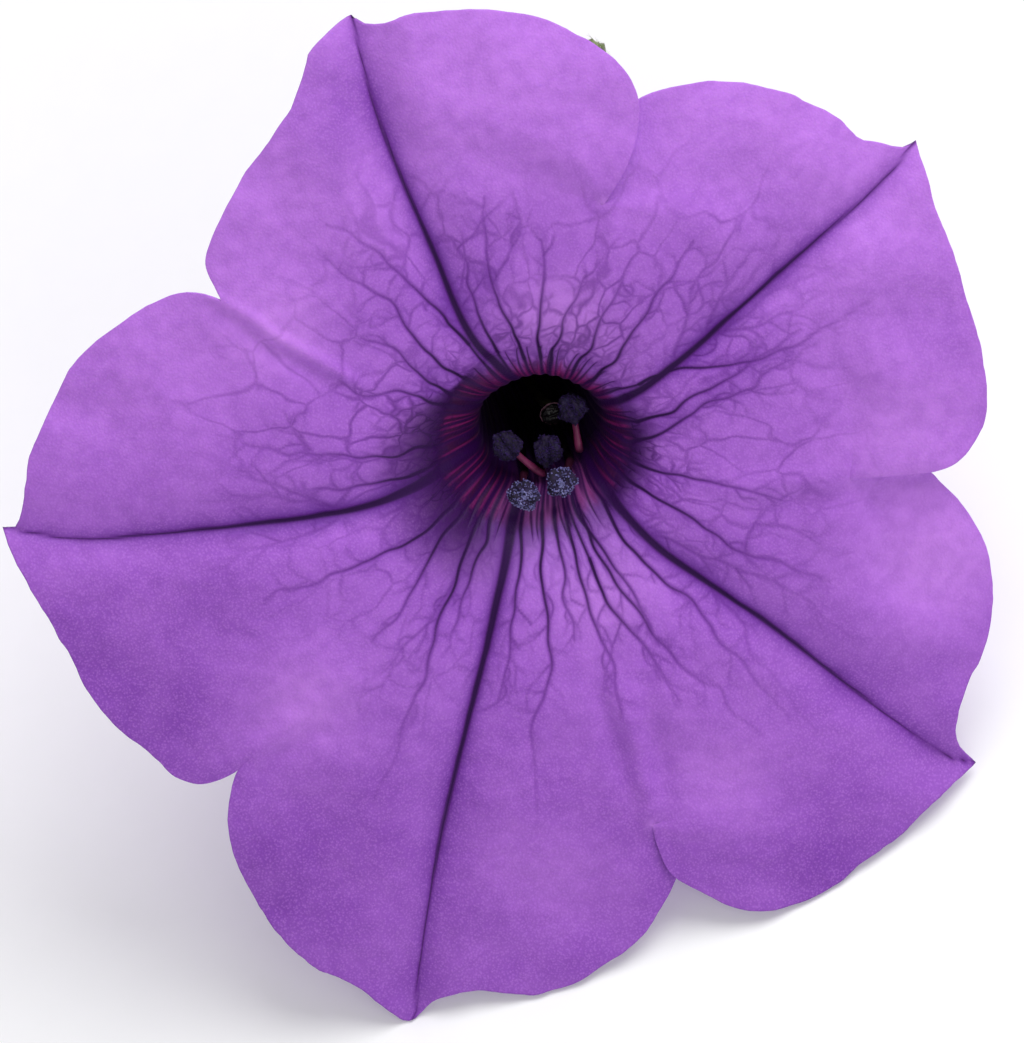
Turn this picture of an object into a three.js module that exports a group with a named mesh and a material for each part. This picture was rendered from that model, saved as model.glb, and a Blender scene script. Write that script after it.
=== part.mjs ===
// A single petunia flower lying as picked: a five-lobed corolla with its tube, five sepals,
// a short stalk, five stamens and a pistil. Millimetres, +Z up, the floor at Z = 0.
import * as THREE from 'three';

// The flower's axis frame: x across, y up within the plane of the limb, w out of the throat.
// The outlines are points on the flower's face, seen at viewTilt from its axis.
const pixelsPerMm = 14.5;
const throatPixel = [535, 440];
const viewTilt = THREE.MathUtils.degToRad(22);
const viewRoll = THREE.MathUtils.degToRad(18.6);

// How the flower lies: the elevation of its axis and a small turn about it.
const faceElevation = THREE.MathUtils.degToRad(40);
const faceTwist = THREE.MathUtils.degToRad(-2.95);

// The corolla.
const petalThickness = 0.5;
const throatRadius = 7;
const flareRise = 2.8;
const flareRun = 3;
const droopStart = 17;
const marginDroop = 2.0;
const droopRun = 14;
const flatLobe = THREE.MathUtils.degToRad(-122);
const creaseDepth = 0.9;
const creaseWidth = 2.2;
const overlapReach = 1.8;
const tubeLength = 31;
const tubeBend = [0.6, 1.2];
const tubeBow = [0.7, -0.3];
// Radius of the tube at each depth below the throat.
const tubeProfile = [
  [0, 7], [0.8, 6.2], [1.6, 5.5], [2.6, 4.85], [4, 4.35], [6, 4.05], [9, 3.8],
  [12, 3.6], [16, 3.35], [20, 3.05], [25, 2.65], [28.5, 2.45], [31, 2.4],
];

// The mesh of the corolla.
const columnsPerLobe = 14;
const fusedRows = 6;
const freeRows = 6;

// The notches between the lobes, clockwise from the one before the top lobe.
const sinusPixels = [[222, 300], [604, 205], [850, 478], [652, 825], [250, 757]];

// Each lobe: its margin up to the tip, the tip, its margin after the tip, its midrib from the
// throat, and how far the two sides lift over (or tuck under) the neighbouring lobes.
const lobes = [
  {
    before: [[207, 262], [240, 186], [290, 113], [311, 53]],
    tip: [352, 18],
    after: [[386, 26], [422, 15], [505, 14], [588, 43], [634, 90], [639, 116], [622, 176]],
    midrib: [[505, 375], [458, 310], [437, 250], [375, 95]],
    lift: [0, 0.7],
  },
  {
    before: [[616, 193], [634, 158], [632, 124], [655, 93], [726, 83], [802, 101], [860, 140], [890, 146]],
    tip: [915, 142],
    after: [[920, 159], [955, 261], [987, 380], [982, 430], [959, 459], [924, 474], [886, 480]],
    midrib: [[620, 405], [690, 358], [790, 270], [880, 185]],
    lift: [-0.7, 0.6],
  },
  {
    before: [[880, 487], [924, 480], [947, 487], [972, 518], [994, 587], [982, 659], [958, 734]],
    tip: [978, 764],
    after: [[960, 778], [904, 835], [841, 884], [785, 909], [735, 909], [680, 880], [660, 848]],
    midrib: [[605, 485], [700, 570], [810, 640], [940, 750]],
    lift: [-0.7, 0.6],
  },
  {
    before: [[649, 850], [664, 884], [659, 910], [646, 933], [601, 968], [534, 997], [473, 993], [427, 1004]],
    tip: [414, 1028],
    after: [[399, 1021], [348, 984], [280, 938], [242, 877], [227, 813], [236, 776]],
    midrib: [[508, 530], [485, 620], [450, 790], [420, 960]],
    lift: [-0.6, 0],
  },
  {
    before: [[232, 774], [203, 784], [149, 753], [91, 696], [44, 611], [8, 544]],
    tip: [4, 527],
    after: [[20, 518], [30, 459], [61, 388], [112, 331], [152, 305], [190, 294]],
    midrib: [[430, 480], [320, 512], [160, 530], [80, 537]],
    lift: [0, 0],
  },
];

// Sepals: direction about the axis, then radius and depth of their midline from the calyx out.
const sepalThickness = 0.6;
const sepalWidths = [2.0, 2.2, 2.5, 2.9, 3.2, 3.3, 3.0, 2.2, 0.9];
const sepalMidlines = [
  { turn: 50, line: [[3.75, -33.4], [4.1, -31.8], [6.2, -30.2], [11, -29.2], [15.5, -29], [19.4, -28.2]] },
  { turn: -20, line: [[3.75, -33.4], [4.1, -31.8], [6.4, -30.2], [10.5, -29.4], [15, -28.6], [18.6, -29.4]] },
  { turn: -90, line: [[3.75, -33.4], [4.1, -31.8], [6, -30.7], [9.6, -29.8], [12.8, -27.9], [15.2, -25.4]] },
  { turn: -156, line: [[3.75, -33.4], [4.1, -31.8], [6, -30.4], [10, -29.6], [14.4, -29.6], [18, -28.4]] },
  { turn: 132, line: [[3.75, -33.4], [4.1, -31.8], [6.3, -30], [9.9, -28.8], [13.5, -28.8], [16.6, -29.8]] },
];

// The stalk with its swollen head: a point on its centreline and the radius there.
const stalk = [
  [[0, 0, -31.3], 2.6], [[0, 0, -31.7], 3.1], [[0, 0, -32.6], 3.2], [[0, 0, -33.7], 2.7],
  [[0, 0, -34.8], 1.8], [[0, 0, -36.2], 1.2], [[0, 0, -39.4], 1.0], [[0, 1.8, -44], 0.95],
  [[0.2, 5.0, -48.6], 0.9], [[0.6, 8.5, -53.03], 0.95],
];

// Stamens: the anther's place on the face and its depth, its turn, and where the filament
// leaves the tube wall.
const antherSize = [2.3, 2.5, 1.5];
const filamentRadius = 0.28;
const stamens = [
  { at: [507, 446], depth: -1.6, turn: 20, root: [-105, 3] },
  { at: [548, 450], depth: -2.4, turn: -10, root: [-88, 6] },
  { at: [524, 495], depth: 0.5, turn: 35, root: [-124, 2.6] },
  { at: [561, 482], depth: 0.1, turn: -30, root: [-71, 3] },
  { at: [573, 408], depth: -3, turn: 15, root: [-53, 3.4] },
];
const stigmaPixel = [553, 413];
const stigmaDepth = -6.4;

const smooth = (t) => {
  const c = Math.min(1, Math.max(0, t));
  return c * c * (3 - 2 * c);
};
const mix = (a, b, t) => a + (b - a) * t;

// Straight-line interpolation in a list of [position, value].
function readTable(table, at) {
  let i = 1;
  while (i < table.length - 1 && table[i][0] < at) i += 1;
  const [a, b] = [table[i - 1], table[i]];
  return mix(a[1], b[1], Math.min(1, Math.max(0, (at - a[0]) / (b[0] - a[0]))));
}

// How far the plain limb stands out of the throat's plane. The margin turns back, most at the
// top of the flower and hardly where it lies on the floor.
function limbRise([angle, radius]) {
  const flare = flareRise * (1 - Math.exp(-(radius - throatRadius) / flareRun));
  const turnedBack = marginDroop * (0.55 + 0.45 * Math.sin(angle - flatLobe - Math.PI / 2));
  return flare - turnedBack * (Math.max(0, radius - droopStart) / droopRun) ** 2;
}

// A point seen on the face, put into the plane of the limb.
function ontoPlane([px, py], depth) {
  const right = (px - throatPixel[0]) / pixelsPerMm;
  const up = (throatPixel[1] - py) / pixelsPerMm;
  const x = right * Math.cos(viewRoll) + up * Math.sin(viewRoll);
  const rise = up * Math.cos(viewRoll) - right * Math.sin(viewRoll);
  let y = rise;
  for (let turn = 0; turn < 12; turn += 1) {
    const w = depth ?? limbRise([Math.atan2(y, x), Math.max(throatRadius, Math.hypot(x, y))]);
    y = (rise + w * Math.sin(viewTilt)) / Math.cos(viewTilt);
  }
  return new THREE.Vector2(x, y);
}

const polar = (p) => [Math.atan2(p.y, p.x), p.length()];
const unwind = (angle, near) => angle + 2 * Math.PI * Math.round((near - angle) / (2 * Math.PI));

// Each lobe in the plane of the limb: its notches, margins and the angle of its midrib.
const sinuses = sinusPixels.map((p) => ontoPlane(p));
const plans = lobes.map((lobe, i) => {
  const from = sinuses[i];
  const to = sinuses[(i + 1) % lobes.length];
  const tip = ontoPlane(lobe.tip);
  const tipAngle = polar(tip)[0];
  const ribs = [...lobe.midrib, lobe.tip].map((p) => {
    const [angle, radius] = polar(ontoPlane(p));
    return [radius, unwind(angle, tipAngle)];
  });
  const before = new THREE.SplineCurve([from, ...lobe.before.map((p) => ontoPlane(p)), tip]);
  const after = new THREE.SplineCurve([tip, ...lobe.after.map((p) => ontoPlane(p)), to]);
  const fromAngle = unwind(polar(from)[0], tipAngle);
  const toAngle = unwind(polar(to)[0], tipAngle);
  const ring = (from.length() + to.length()) / 2;
  return { from, to, tip, ribs, before, after, fromAngle, toAngle, ring, lift: lobe.lift };
});

// The angle of column u of a lobe at a radius, and where the column meets the free lobe.
function columnAngle(plan, u, radius) {
  const rib = readTable(plan.ribs, radius);
  return u < 0.5 ? mix(plan.fromAngle, rib, 2 * u) : mix(rib, plan.toAngle, 2 * u - 1);
}
function ringRadius(plan, u) {
  const side = u < 0.5 ? plan.from.length() : plan.to.length();
  return mix(side, plan.ring, smooth(1 - Math.abs(2 * u - 1)));
}
const fromPolar = (angle, radius) => new THREE.Vector2(Math.cos(angle), Math.sin(angle)).multiplyScalar(radius);

// Height of the limb: flare, droop, the crease along the midrib and the overlap of the sides.
function limbPoint(plan, p, u, free) {
  const [angle, radius] = polar(p);
  const rib = readTable(plan.ribs, radius);
  const across = radius * Math.sin(angle - rib);
  const along = smooth((radius - throatRadius) / 8);
  const crease = creaseDepth * along * Math.exp(-((across / creaseWidth) ** 2));
  const [sinus, lift] = u < 0.5 ? [plan.from, plan.lift[0]] : [plan.to, plan.lift[1]];
  const away = p.distanceTo(sinus);
  const side = smooth(Math.abs(2 * u - 1) * 1.6);
  const overlap = free * lift * side * (1 - Math.exp(-away / overlapReach));
  const wave = 0.45 * (radius / 32) ** 3 * Math.sin(4 * angle + 1.3);
  return new THREE.Vector3(p.x, p.y, limbRise([angle, radius]) - crease + overlap + wave);
}

// The tube's centre moves sideways with depth: a bow in its upper half and a bend in its lower one.
const tubeCentre = (depth) => {
  const bend = (Math.max(0, depth - 4) / tubeLength) ** 2;
  const bow = smooth(depth / 4) * (1 - smooth((depth - 10) / 18));
  const [x, y] = [0, 1].map((axis) => tubeBend[axis] * bend + tubeBow[axis] * bow);
  return new THREE.Vector2(x, y);
};
function tubePoint(angle, depth, inward = 0) {
  const p = fromPolar(angle, readTable(tubeProfile, depth) - inward).add(tubeCentre(depth));
  return new THREE.Vector3(p.x, p.y, -depth);
}

// Triangles of a surface to a closed skin of even thickness.
function skin(points, triangles, thickness) {
  const normals = points.map(() => new THREE.Vector3());
  const edges = new Map();
  for (const tri of triangles) {
    const [a, b, c] = tri.map((i) => points[i]);
    const n = b.clone().sub(a).cross(c.clone().sub(a));
    tri.forEach((i) => normals[i].add(n));
    tri.forEach((i, k) => {
      const j = tri[(k + 1) % 3];
      if (!edges.delete(`${j},${i}`)) edges.set(`${i},${j}`, [i, j]);
    });
  }
  const count = points.length;
  const half = thickness / 2;
  const front = points.map((p, i) => p.clone().addScaledVector(normals[i].normalize(), half));
  const back = points.map((p, i) => p.clone().addScaledVector(normals[i], -half));
  const faces = triangles.flatMap(([a, b, c]) => [[a, b, c], [c + count, b + count, a + count]]);
  for (const [a, b] of edges.values()) faces.push([b, a, a + count], [b, a + count, b + count]);
  return solid([...front, ...back], faces);
}

function solid(points, faces) {
  const geometry = new THREE.BufferGeometry();
  geometry.setAttribute('position', new THREE.Float32BufferAttribute(points.flatMap((p) => p.toArray()), 3));
  geometry.setIndex(faces.flat());
  geometry.computeVertexNormals();
  return geometry;
}

// A quad of vertex numbers as triangles, without the sides that have no length.
function quad(a, b, c, d) {
  return [[a, b, c], [a, c, d]].filter(([p, q, r]) => p !== q && q !== r && r !== p);
}

function corolla() {
  const points = [];
  const triangles = [];
  const columns = lobes.length * columnsPerLobe;
  const depths = tubeProfile.map(([depth]) => depth).reverse();
  const rows = depths.length + fusedRows;
  for (let row = 0; row < rows; row += 1) {
    for (let column = 0; column < columns; column += 1) {
      const plan = plans[Math.floor(column / columnsPerLobe)];
      const u = (column % columnsPerLobe) / columnsPerLobe;
      if (row < depths.length) {
        points.push(tubePoint(columnAngle(plan, u, throatRadius), depths[row]));
      } else {
        const t = ((row - depths.length + 1) / fusedRows) ** 1.25;
        const radius = mix(throatRadius, ringRadius(plan, u), t);
        points.push(limbPoint(plan, fromPolar(columnAngle(plan, u, radius), radius), u, 0));
      }
    }
  }
  const common = (row, column) => row * columns + (column % columns);
  for (let row = 0; row < rows - 1; row += 1) {
    for (let c = 0; c < columns; c += 1) {
      triangles.push(...quad(common(row, c), common(row + 1, c), common(row + 1, c + 1), common(row, c + 1)));
    }
  }
  plans.forEach((plan, lobe) => {
    const first = points.length;
    const inner = columnsPerLobe - 1;
    for (let row = 1; row <= freeRows; row += 1) {
      for (let k = 1; k <= inner; k += 1) {
        const u = k / columnsPerLobe;
        const radius = ringRadius(plan, u);
        const base = fromPolar(columnAngle(plan, u, radius), radius);
        const edge = u < 0.5 ? plan.before.getPointAt(2 * u) : plan.after.getPointAt(2 * u - 1);
        const free = row / freeRows;
        points.push(limbPoint(plan, base.lerp(edge, free), u, smooth(free * 3)));
      }
    }
    const at = (row, k) => {
      const onRing = row === 0 || k === 0 || k === columnsPerLobe;
      if (onRing) return common(rows - 1, lobe * columnsPerLobe + k);
      return first + (row - 1) * inner + (k - 1);
    };
    for (let row = 0; row < freeRows; row += 1) {
      for (let k = 0; k < columnsPerLobe; k += 1) {
        triangles.push(...quad(at(row, k), at(row + 1, k), at(row + 1, k + 1), at(row, k + 1)));
      }
    }
  });
  return skin(points, triangles, petalThickness);
}

// A round solid of changing radius along a line of points.
function taper(points, radii, sides, stations) {
  const curve = new THREE.CatmullRomCurve3(points, false, 'centripetal');
  const table = radii.map((radius, i) => [i / (radii.length - 1), radius]);
  const frames = curve.computeFrenetFrames(stations);
  const rings = [];
  const faces = [];
  for (let i = 0; i <= stations; i += 1) {
    const centre = curve.getPointAt(i / stations);
    const radius = readTable(table, curve.getUtoTmapping(i / stations));
    for (let k = 0; k < sides; k += 1) {
      const turn = (2 * Math.PI * k) / sides;
      rings.push(centre.clone()
        .addScaledVector(frames.normals[i], radius * Math.cos(turn))
        .addScaledVector(frames.binormals[i], radius * Math.sin(turn)));
    }
  }
  const at = (ring, k) => ring * sides + (k % sides);
  for (let i = 0; i < stations; i += 1) {
    for (let k = 0; k < sides; k += 1) faces.push(...quad(at(i, k), at(i, k + 1), at(i + 1, k + 1), at(i + 1, k)));
  }
  rings.push(curve.getPointAt(0), curve.getPointAt(1));
  for (let k = 0; k < sides; k += 1) {
    faces.push([rings.length - 2, at(0, k + 1), at(0, k)]);
    faces.push([rings.length - 1, at(stations, k), at(stations, k + 1)]);
  }
  return solid(rings, faces);
}

// A sepal: a narrow blade along its midline, hollowed a little along the middle.
function sepal({ turn, line }) {
  const angle = THREE.MathUtils.degToRad(turn);
  const out = new THREE.Vector3(Math.cos(angle), Math.sin(angle), 0);
  const across = new THREE.Vector3(-out.y, out.x, 0);
  const foot = tubeCentre(tubeLength);
  const midline = new THREE.CatmullRomCurve3(line.map(([radius, depth]) => out.clone()
    .multiplyScalar(radius).add(new THREE.Vector3(foot.x, foot.y, depth))));
  const widths = sepalWidths.map((width, i) => [i / (sepalWidths.length - 1), width]);
  const points = [];
  const triangles = [];
  const [stations, lanes] = [12, 4];
  for (let i = 0; i <= stations; i += 1) {
    const t = i / stations;
    const centre = midline.getPointAt(t);
    const normal = midline.getTangentAt(t).cross(across).negate();
    const half = readTable(widths, t) / 2;
    for (let k = 0; k <= lanes; k += 1) {
      const side = (2 * k) / lanes - 1;
      points.push(centre.clone().addScaledVector(across, half * side).addScaledVector(normal, 0.35 * side * side));
    }
  }
  const at = (i, k) => i * (lanes + 1) + k;
  for (let i = 0; i < stations; i += 1) {
    for (let k = 0; k < lanes; k += 1) triangles.push(...quad(at(i, k), at(i, k + 1), at(i + 1, k + 1), at(i + 1, k)));
  }
  return skin(points, triangles, sepalThickness);
}

// A two-lobed anther about a place, lying across the flower's axis.
function anther(place, turn) {
  const geometry = new THREE.SphereGeometry(0.5, 14, 9);
  const positions = geometry.getAttribute('position');
  for (let i = 0; i < positions.count; i += 1) {
    const p = new THREE.Vector3().fromBufferAttribute(positions, i);
    const waist = 1 - 0.42 * Math.exp(-((p.x / 0.13) ** 2)) * Math.max(0, p.z * 2);
    positions.setXYZ(i, p.x * antherSize[0], p.y * antherSize[1], p.z * antherSize[2] * waist);
  }
  geometry.rotateZ(THREE.MathUtils.degToRad(turn));
  geometry.translate(place.x, place.y, place.z);
  return geometry;
}

const facePoint = (pixel, depth) => {
  const p = ontoPlane(pixel, depth);
  return new THREE.Vector3(p.x, p.y, depth);
};

function filament({ at, depth, root }) {
  const angle = THREE.MathUtils.degToRad(root[0]);
  const seat = filamentRadius + petalThickness / 2 + 0.3;
  const low = [13, 9, root[1] + 1].map((d) => tubePoint(angle, d, seat));
  const head = facePoint(at, depth);
  head.z -= antherSize[2] / 2 + 0.42;
  const leave = tubePoint(angle, root[1], seat + 0.3);
  const bend = leave.clone().lerp(head, 0.55);
  bend.y -= 0.25;
  return [...low, leave, bend, head];
}

const group = new THREE.Group();
const seated = new THREE.Matrix4()
  .makeRotationX(Math.PI / 2 - faceElevation)
  .multiply(new THREE.Matrix4().makeRotationZ(faceTwist));

function add(name, geometry, color, roughness) {
  geometry.applyMatrix4(seated);
  const material = new THREE.MeshStandardMaterial({ color, roughness, metalness: 0 });
  const mesh = new THREE.Mesh(geometry, material);
  mesh.name = name;
  group.add(mesh);
}

add('corolla', corolla(), 0xa45fd0, 0.55);

const foot = tubeCentre(tubeLength);
const footed = ([x, y, w]) => new THREE.Vector3(x + foot.x, y + foot.y, w);
add('pedicel', taper(stalk.map(([p]) => footed(p)), stalk.map(([, r]) => r), 12, 30), 0x7f9a4e, 0.6);
sepalMidlines.forEach((line, i) => add(`sepal_${i + 1}`, sepal(line), 0x6f8f45, 0.6));

stamens.forEach((stamen, i) => {
  const line = filament(stamen);
  add(`filament_${i + 1}`, taper(line, line.map(() => filamentRadius), 8, 16), 0x96406e, 0.5);
  add(`anther_${i + 1}`, anther(facePoint(stamen.at, stamen.depth), stamen.turn), 0x8f90b4, 0.8);
});

const disc = [[0, 0, -31.0], [0, 0, -30.85], [0, 0, -30.4], [0, 0, -30.2]].map(footed);
add('nectary_disc', taper(disc, [1.5, 1.75, 1.7, 1.3], 14, 4), 0xb9a24a, 0.5);
const ovary = [[0, 0, -29.9], [0, 0, -29.3], [0, 0, -28.2], [0, 0, -26.8], [0, 0, -25.9]].map(footed);
add('ovary', taper(ovary, [1.0, 1.45, 1.5, 0.95, 0.4], 14, 9), 0x8fa256, 0.5);
const stigmaAt = facePoint(stigmaPixel, stigmaDepth);
const styleLine = [footed([0, 0, -25.6]), footed([0.1, -0.3, -19]), new THREE.Vector3(1.0, -0.9, -12)];
styleLine.push(stigmaAt.clone().add(new THREE.Vector3(0, 0, -0.9)));
add('style', taper(styleLine, [0.36, 0.34, 0.34, 0.42], 8, 18), 0x9c9a4a, 0.5);
const cap = [-0.6, -0.4, 0, 0.35, 0.5].map((z) => stigmaAt.clone().add(new THREE.Vector3(0, 0, z)));
add('stigma', taper(cap, [0.45, 0.8, 0.9, 0.75, 0.4], 14, 7), 0x59613a, 0.35);

// The middle of the flower's footprint is the origin, and its lowest points are on the floor.
const bounds = new THREE.Box3().setFromObject(group, true);
const middle = bounds.getCenter(new THREE.Vector3());
group.children.forEach((mesh) => mesh.geometry.translate(-middle.x, -middle.y, -bounds.min.z));

export default group;
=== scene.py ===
# A picked violet petunia flower lying on a pale floor, built round its CAD frame.
import math

import bpy
import numpy as np
from mathutils import Matrix, Vector


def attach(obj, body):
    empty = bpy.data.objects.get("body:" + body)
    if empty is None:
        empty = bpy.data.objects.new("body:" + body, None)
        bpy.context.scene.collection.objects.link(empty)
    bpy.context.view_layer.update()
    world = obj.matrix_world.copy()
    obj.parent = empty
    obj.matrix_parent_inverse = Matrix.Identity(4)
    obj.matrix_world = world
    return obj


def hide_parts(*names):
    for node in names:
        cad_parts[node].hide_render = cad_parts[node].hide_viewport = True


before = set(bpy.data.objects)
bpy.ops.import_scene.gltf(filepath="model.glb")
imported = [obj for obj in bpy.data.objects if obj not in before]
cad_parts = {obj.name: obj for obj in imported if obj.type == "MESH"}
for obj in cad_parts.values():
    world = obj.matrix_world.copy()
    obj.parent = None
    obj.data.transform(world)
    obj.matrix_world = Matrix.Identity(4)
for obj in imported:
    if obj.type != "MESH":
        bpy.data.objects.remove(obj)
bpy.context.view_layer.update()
scene = bpy.context.scene
mm = 0.001

# How the flower lies, the same as in the CAD. Its own frame is x across the face, y up in the
# plane of the limb and w out of the throat, in millimetres from the throat's middle.
lie = {
    "elevation": math.radians(40),
    "twist": math.radians(-2.95),
    "throat": np.array([2.099, -9.69, 27.897]),
}
# The picture: the throat's place in it, its scale, and how it looks at the flower's axis.
picture = {
    "size": (1024, 1043),
    "throat": (535, 440),
    "pixelsPerMm": 14.5,
    "tilt": math.radians(22),
    "roll": math.radians(18.6),
    "distance": 2.4,
    "sensorWidth": 36,
    "clip": (0.1, 20),
}


def turnX(angle):
    c, s = math.cos(angle), math.sin(angle)
    return np.array([[1, 0, 0], [0, c, -s], [0, s, c]])


def turnZ(angle):
    c, s = math.cos(angle), math.sin(angle)
    return np.array([[c, -s, 0], [s, c, 0], [0, 0, 1]])


toFloor = turnX(math.pi / 2 - lie["elevation"]) @ turnZ(lie["twist"])


def laid(points):
    # from the flower's frame in millimetres to the scene in metres
    return (np.asarray(points, float) @ toFloor.T + lie["throat"]) * mm


def onFloor(points, gap, softness):
    # what would sink into the floor lies on it instead
    spots = laid(points) / mm
    spots[:, 2] = gap + softness * np.logaddexp(0, (spots[:, 2] - gap) / softness)
    return (spots - lie["throat"]) @ toFloor


def clearOfFloor(bases, ways, lengths):
    ends = laid(bases + ways * lengths[:, None])[:, 2]
    return np.minimum(ends, laid(bases)[:, 2]) > 0.0001


def makeCamera():
    tilt, roll = picture["tilt"], picture["roll"]
    right = np.array([1, 0, 0])
    up = np.array([0, math.cos(tilt), -math.sin(tilt)])
    toward = toFloor @ np.array([0, math.sin(tilt), math.cos(tilt)])
    across = toFloor @ (math.cos(roll) * right - math.sin(roll) * up)
    above = toFloor @ (math.sin(roll) * right + math.cos(roll) * up)
    wide, high = picture["size"]
    middleX = (wide / 2 - picture["throat"][0]) / picture["pixelsPerMm"]
    middleY = (picture["throat"][1] - high / 2) / picture["pixelsPerMm"]
    aim = (lie["throat"] + middleX * across + middleY * above) * mm
    data = bpy.data.cameras.new("camera")
    camera = bpy.data.objects.new("camera", data)
    scene.collection.objects.link(camera)
    spot = aim + toward * picture["distance"]
    camera.matrix_world = Matrix([
        [*row, place] for row, place in zip(np.array([across, above, toward]).T, spot)
    ] + [[0, 0, 0, 1]])
    data.sensor_width = picture["sensorWidth"]
    longSide = max(wide, high) / picture["pixelsPerMm"] * mm
    data.lens = data.sensor_width * picture["distance"] / longSide
    data.clip_start, data.clip_end = picture["clip"]
    scene.camera = camera


makeCamera()
print("camera set")


def ease(t):
    t = np.clip(t, 0, 1)
    return t * t * (3 - 2 * t)


def bell(away, width):
    return np.exp(-((away / width) ** 2))


def around(angle):
    return np.stack([np.cos(angle), np.sin(angle)], axis=-1)


def runAlong(points):
    # the distance along a line at each of its points
    return np.concatenate([[0], np.cumsum(np.linalg.norm(np.diff(points, axis=0), axis=1))])


def softTable(table, at):
    # a smooth curve through [position, value] pairs
    xs, ys = np.array(table, float).T
    slopes = np.gradient(ys, xs)
    i = np.clip(np.searchsorted(xs, at) - 1, 0, len(xs) - 2)
    h = xs[i + 1] - xs[i]
    t = np.clip((at - xs[i]) / h, 0, 1)
    return (
        (2 * t**3 - 3 * t**2 + 1) * ys[i] + (t**3 - 2 * t**2 + t) * h * slopes[i]
        + (3 * t**2 - 2 * t**3) * ys[i + 1] + (t**3 - t**2) * h * slopes[i + 1]
    )


def lineThrough(points, count, spread=None):
    # a Catmull-Rom line through points, with even steps or at the given shares of its length
    points = np.asarray(points, float)
    padded = np.vstack([2 * points[0] - points[1], points, 2 * points[-1] - points[-2]])
    fine = []
    for p0, p1, p2, p3 in zip(padded, padded[1:], padded[2:], padded[3:]):
        t = np.linspace(0, 1, 24, endpoint=False)[:, None]
        fine.append(0.5 * (
            2 * p1 + (p2 - p0) * t + (2 * p0 - 5 * p1 + 4 * p2 - p3) * t**2
            + (3 * p1 - p0 - 3 * p2 + p3) * t**3
        ))
    fine = np.vstack([*fine, points[-1:]])
    run = runAlong(fine)
    at = np.linspace(0, 1, count) if spread is None else np.asarray(spread)
    return np.stack([np.interp(at * run[-1], run, c) for c in fine.T], axis=1)


def waves(points, length, seed, count=14):
    # gentle unevenness from crossed waves of about one length, mostly between -1 and 1
    rng = np.random.default_rng(seed)
    total = np.zeros(len(points))
    for _ in range(count):
        way = rng.normal(size=points.shape[1])
        way *= 2 * math.pi / (length * rng.uniform(0.7, 1.5)) / np.linalg.norm(way)
        total += np.sin(points @ way + rng.uniform(0, 2 * math.pi))
    return total / math.sqrt(count)


# The corolla in millimetres: its limb, its tube as depth and radius, and how finely it is meshed.
corolla = {
    "thickness": 0.26,
    "throatRadius": 7.0,
    "flareRise": 2.8,
    "flareRun": 3.0,
    "droopStart": 17,
    "marginDroop": 2.0,
    "droopRun": 14,
    "flatLobe": math.radians(-122),  # where the margin droops least
    "creaseDepth": 0.9,
    "creaseWidth": 2.2,
    "ribDepth": 0.22,
    "ribWidth": 0.55,
    "marginWave": 0.45,
    "edgeThinning": 0.45,
    "overlapReach": 1.2,
    "crimp": 0.035,
    "tubeLength": 31,
    "tubeSunk": 0.5,
    "tubeBend": (0.6, 1.2),
    "tubeBow": (0.7, -0.3),
    "tube": [
        [0, 7], [0.8, 6.2], [1.6, 5.5], [2.6, 4.85], [4, 4.35], [6, 4.05], [9, 3.8],
        [12, 3.6], [16, 3.35], [20, 3.05], [25, 2.65], [28.5, 2.45], [31, 2.4],
    ],
    "columns": 170,  # in each lobe
    "tubeRows": 51,
    "fusedRows": 110,
    "freeRows": 90,
}
# Notches between the lobes, clockwise from the one before the top lobe, as places in the picture.
notches = [(222, 300), (604, 205), (850, 478), (652, 825), (250, 757)]
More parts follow.
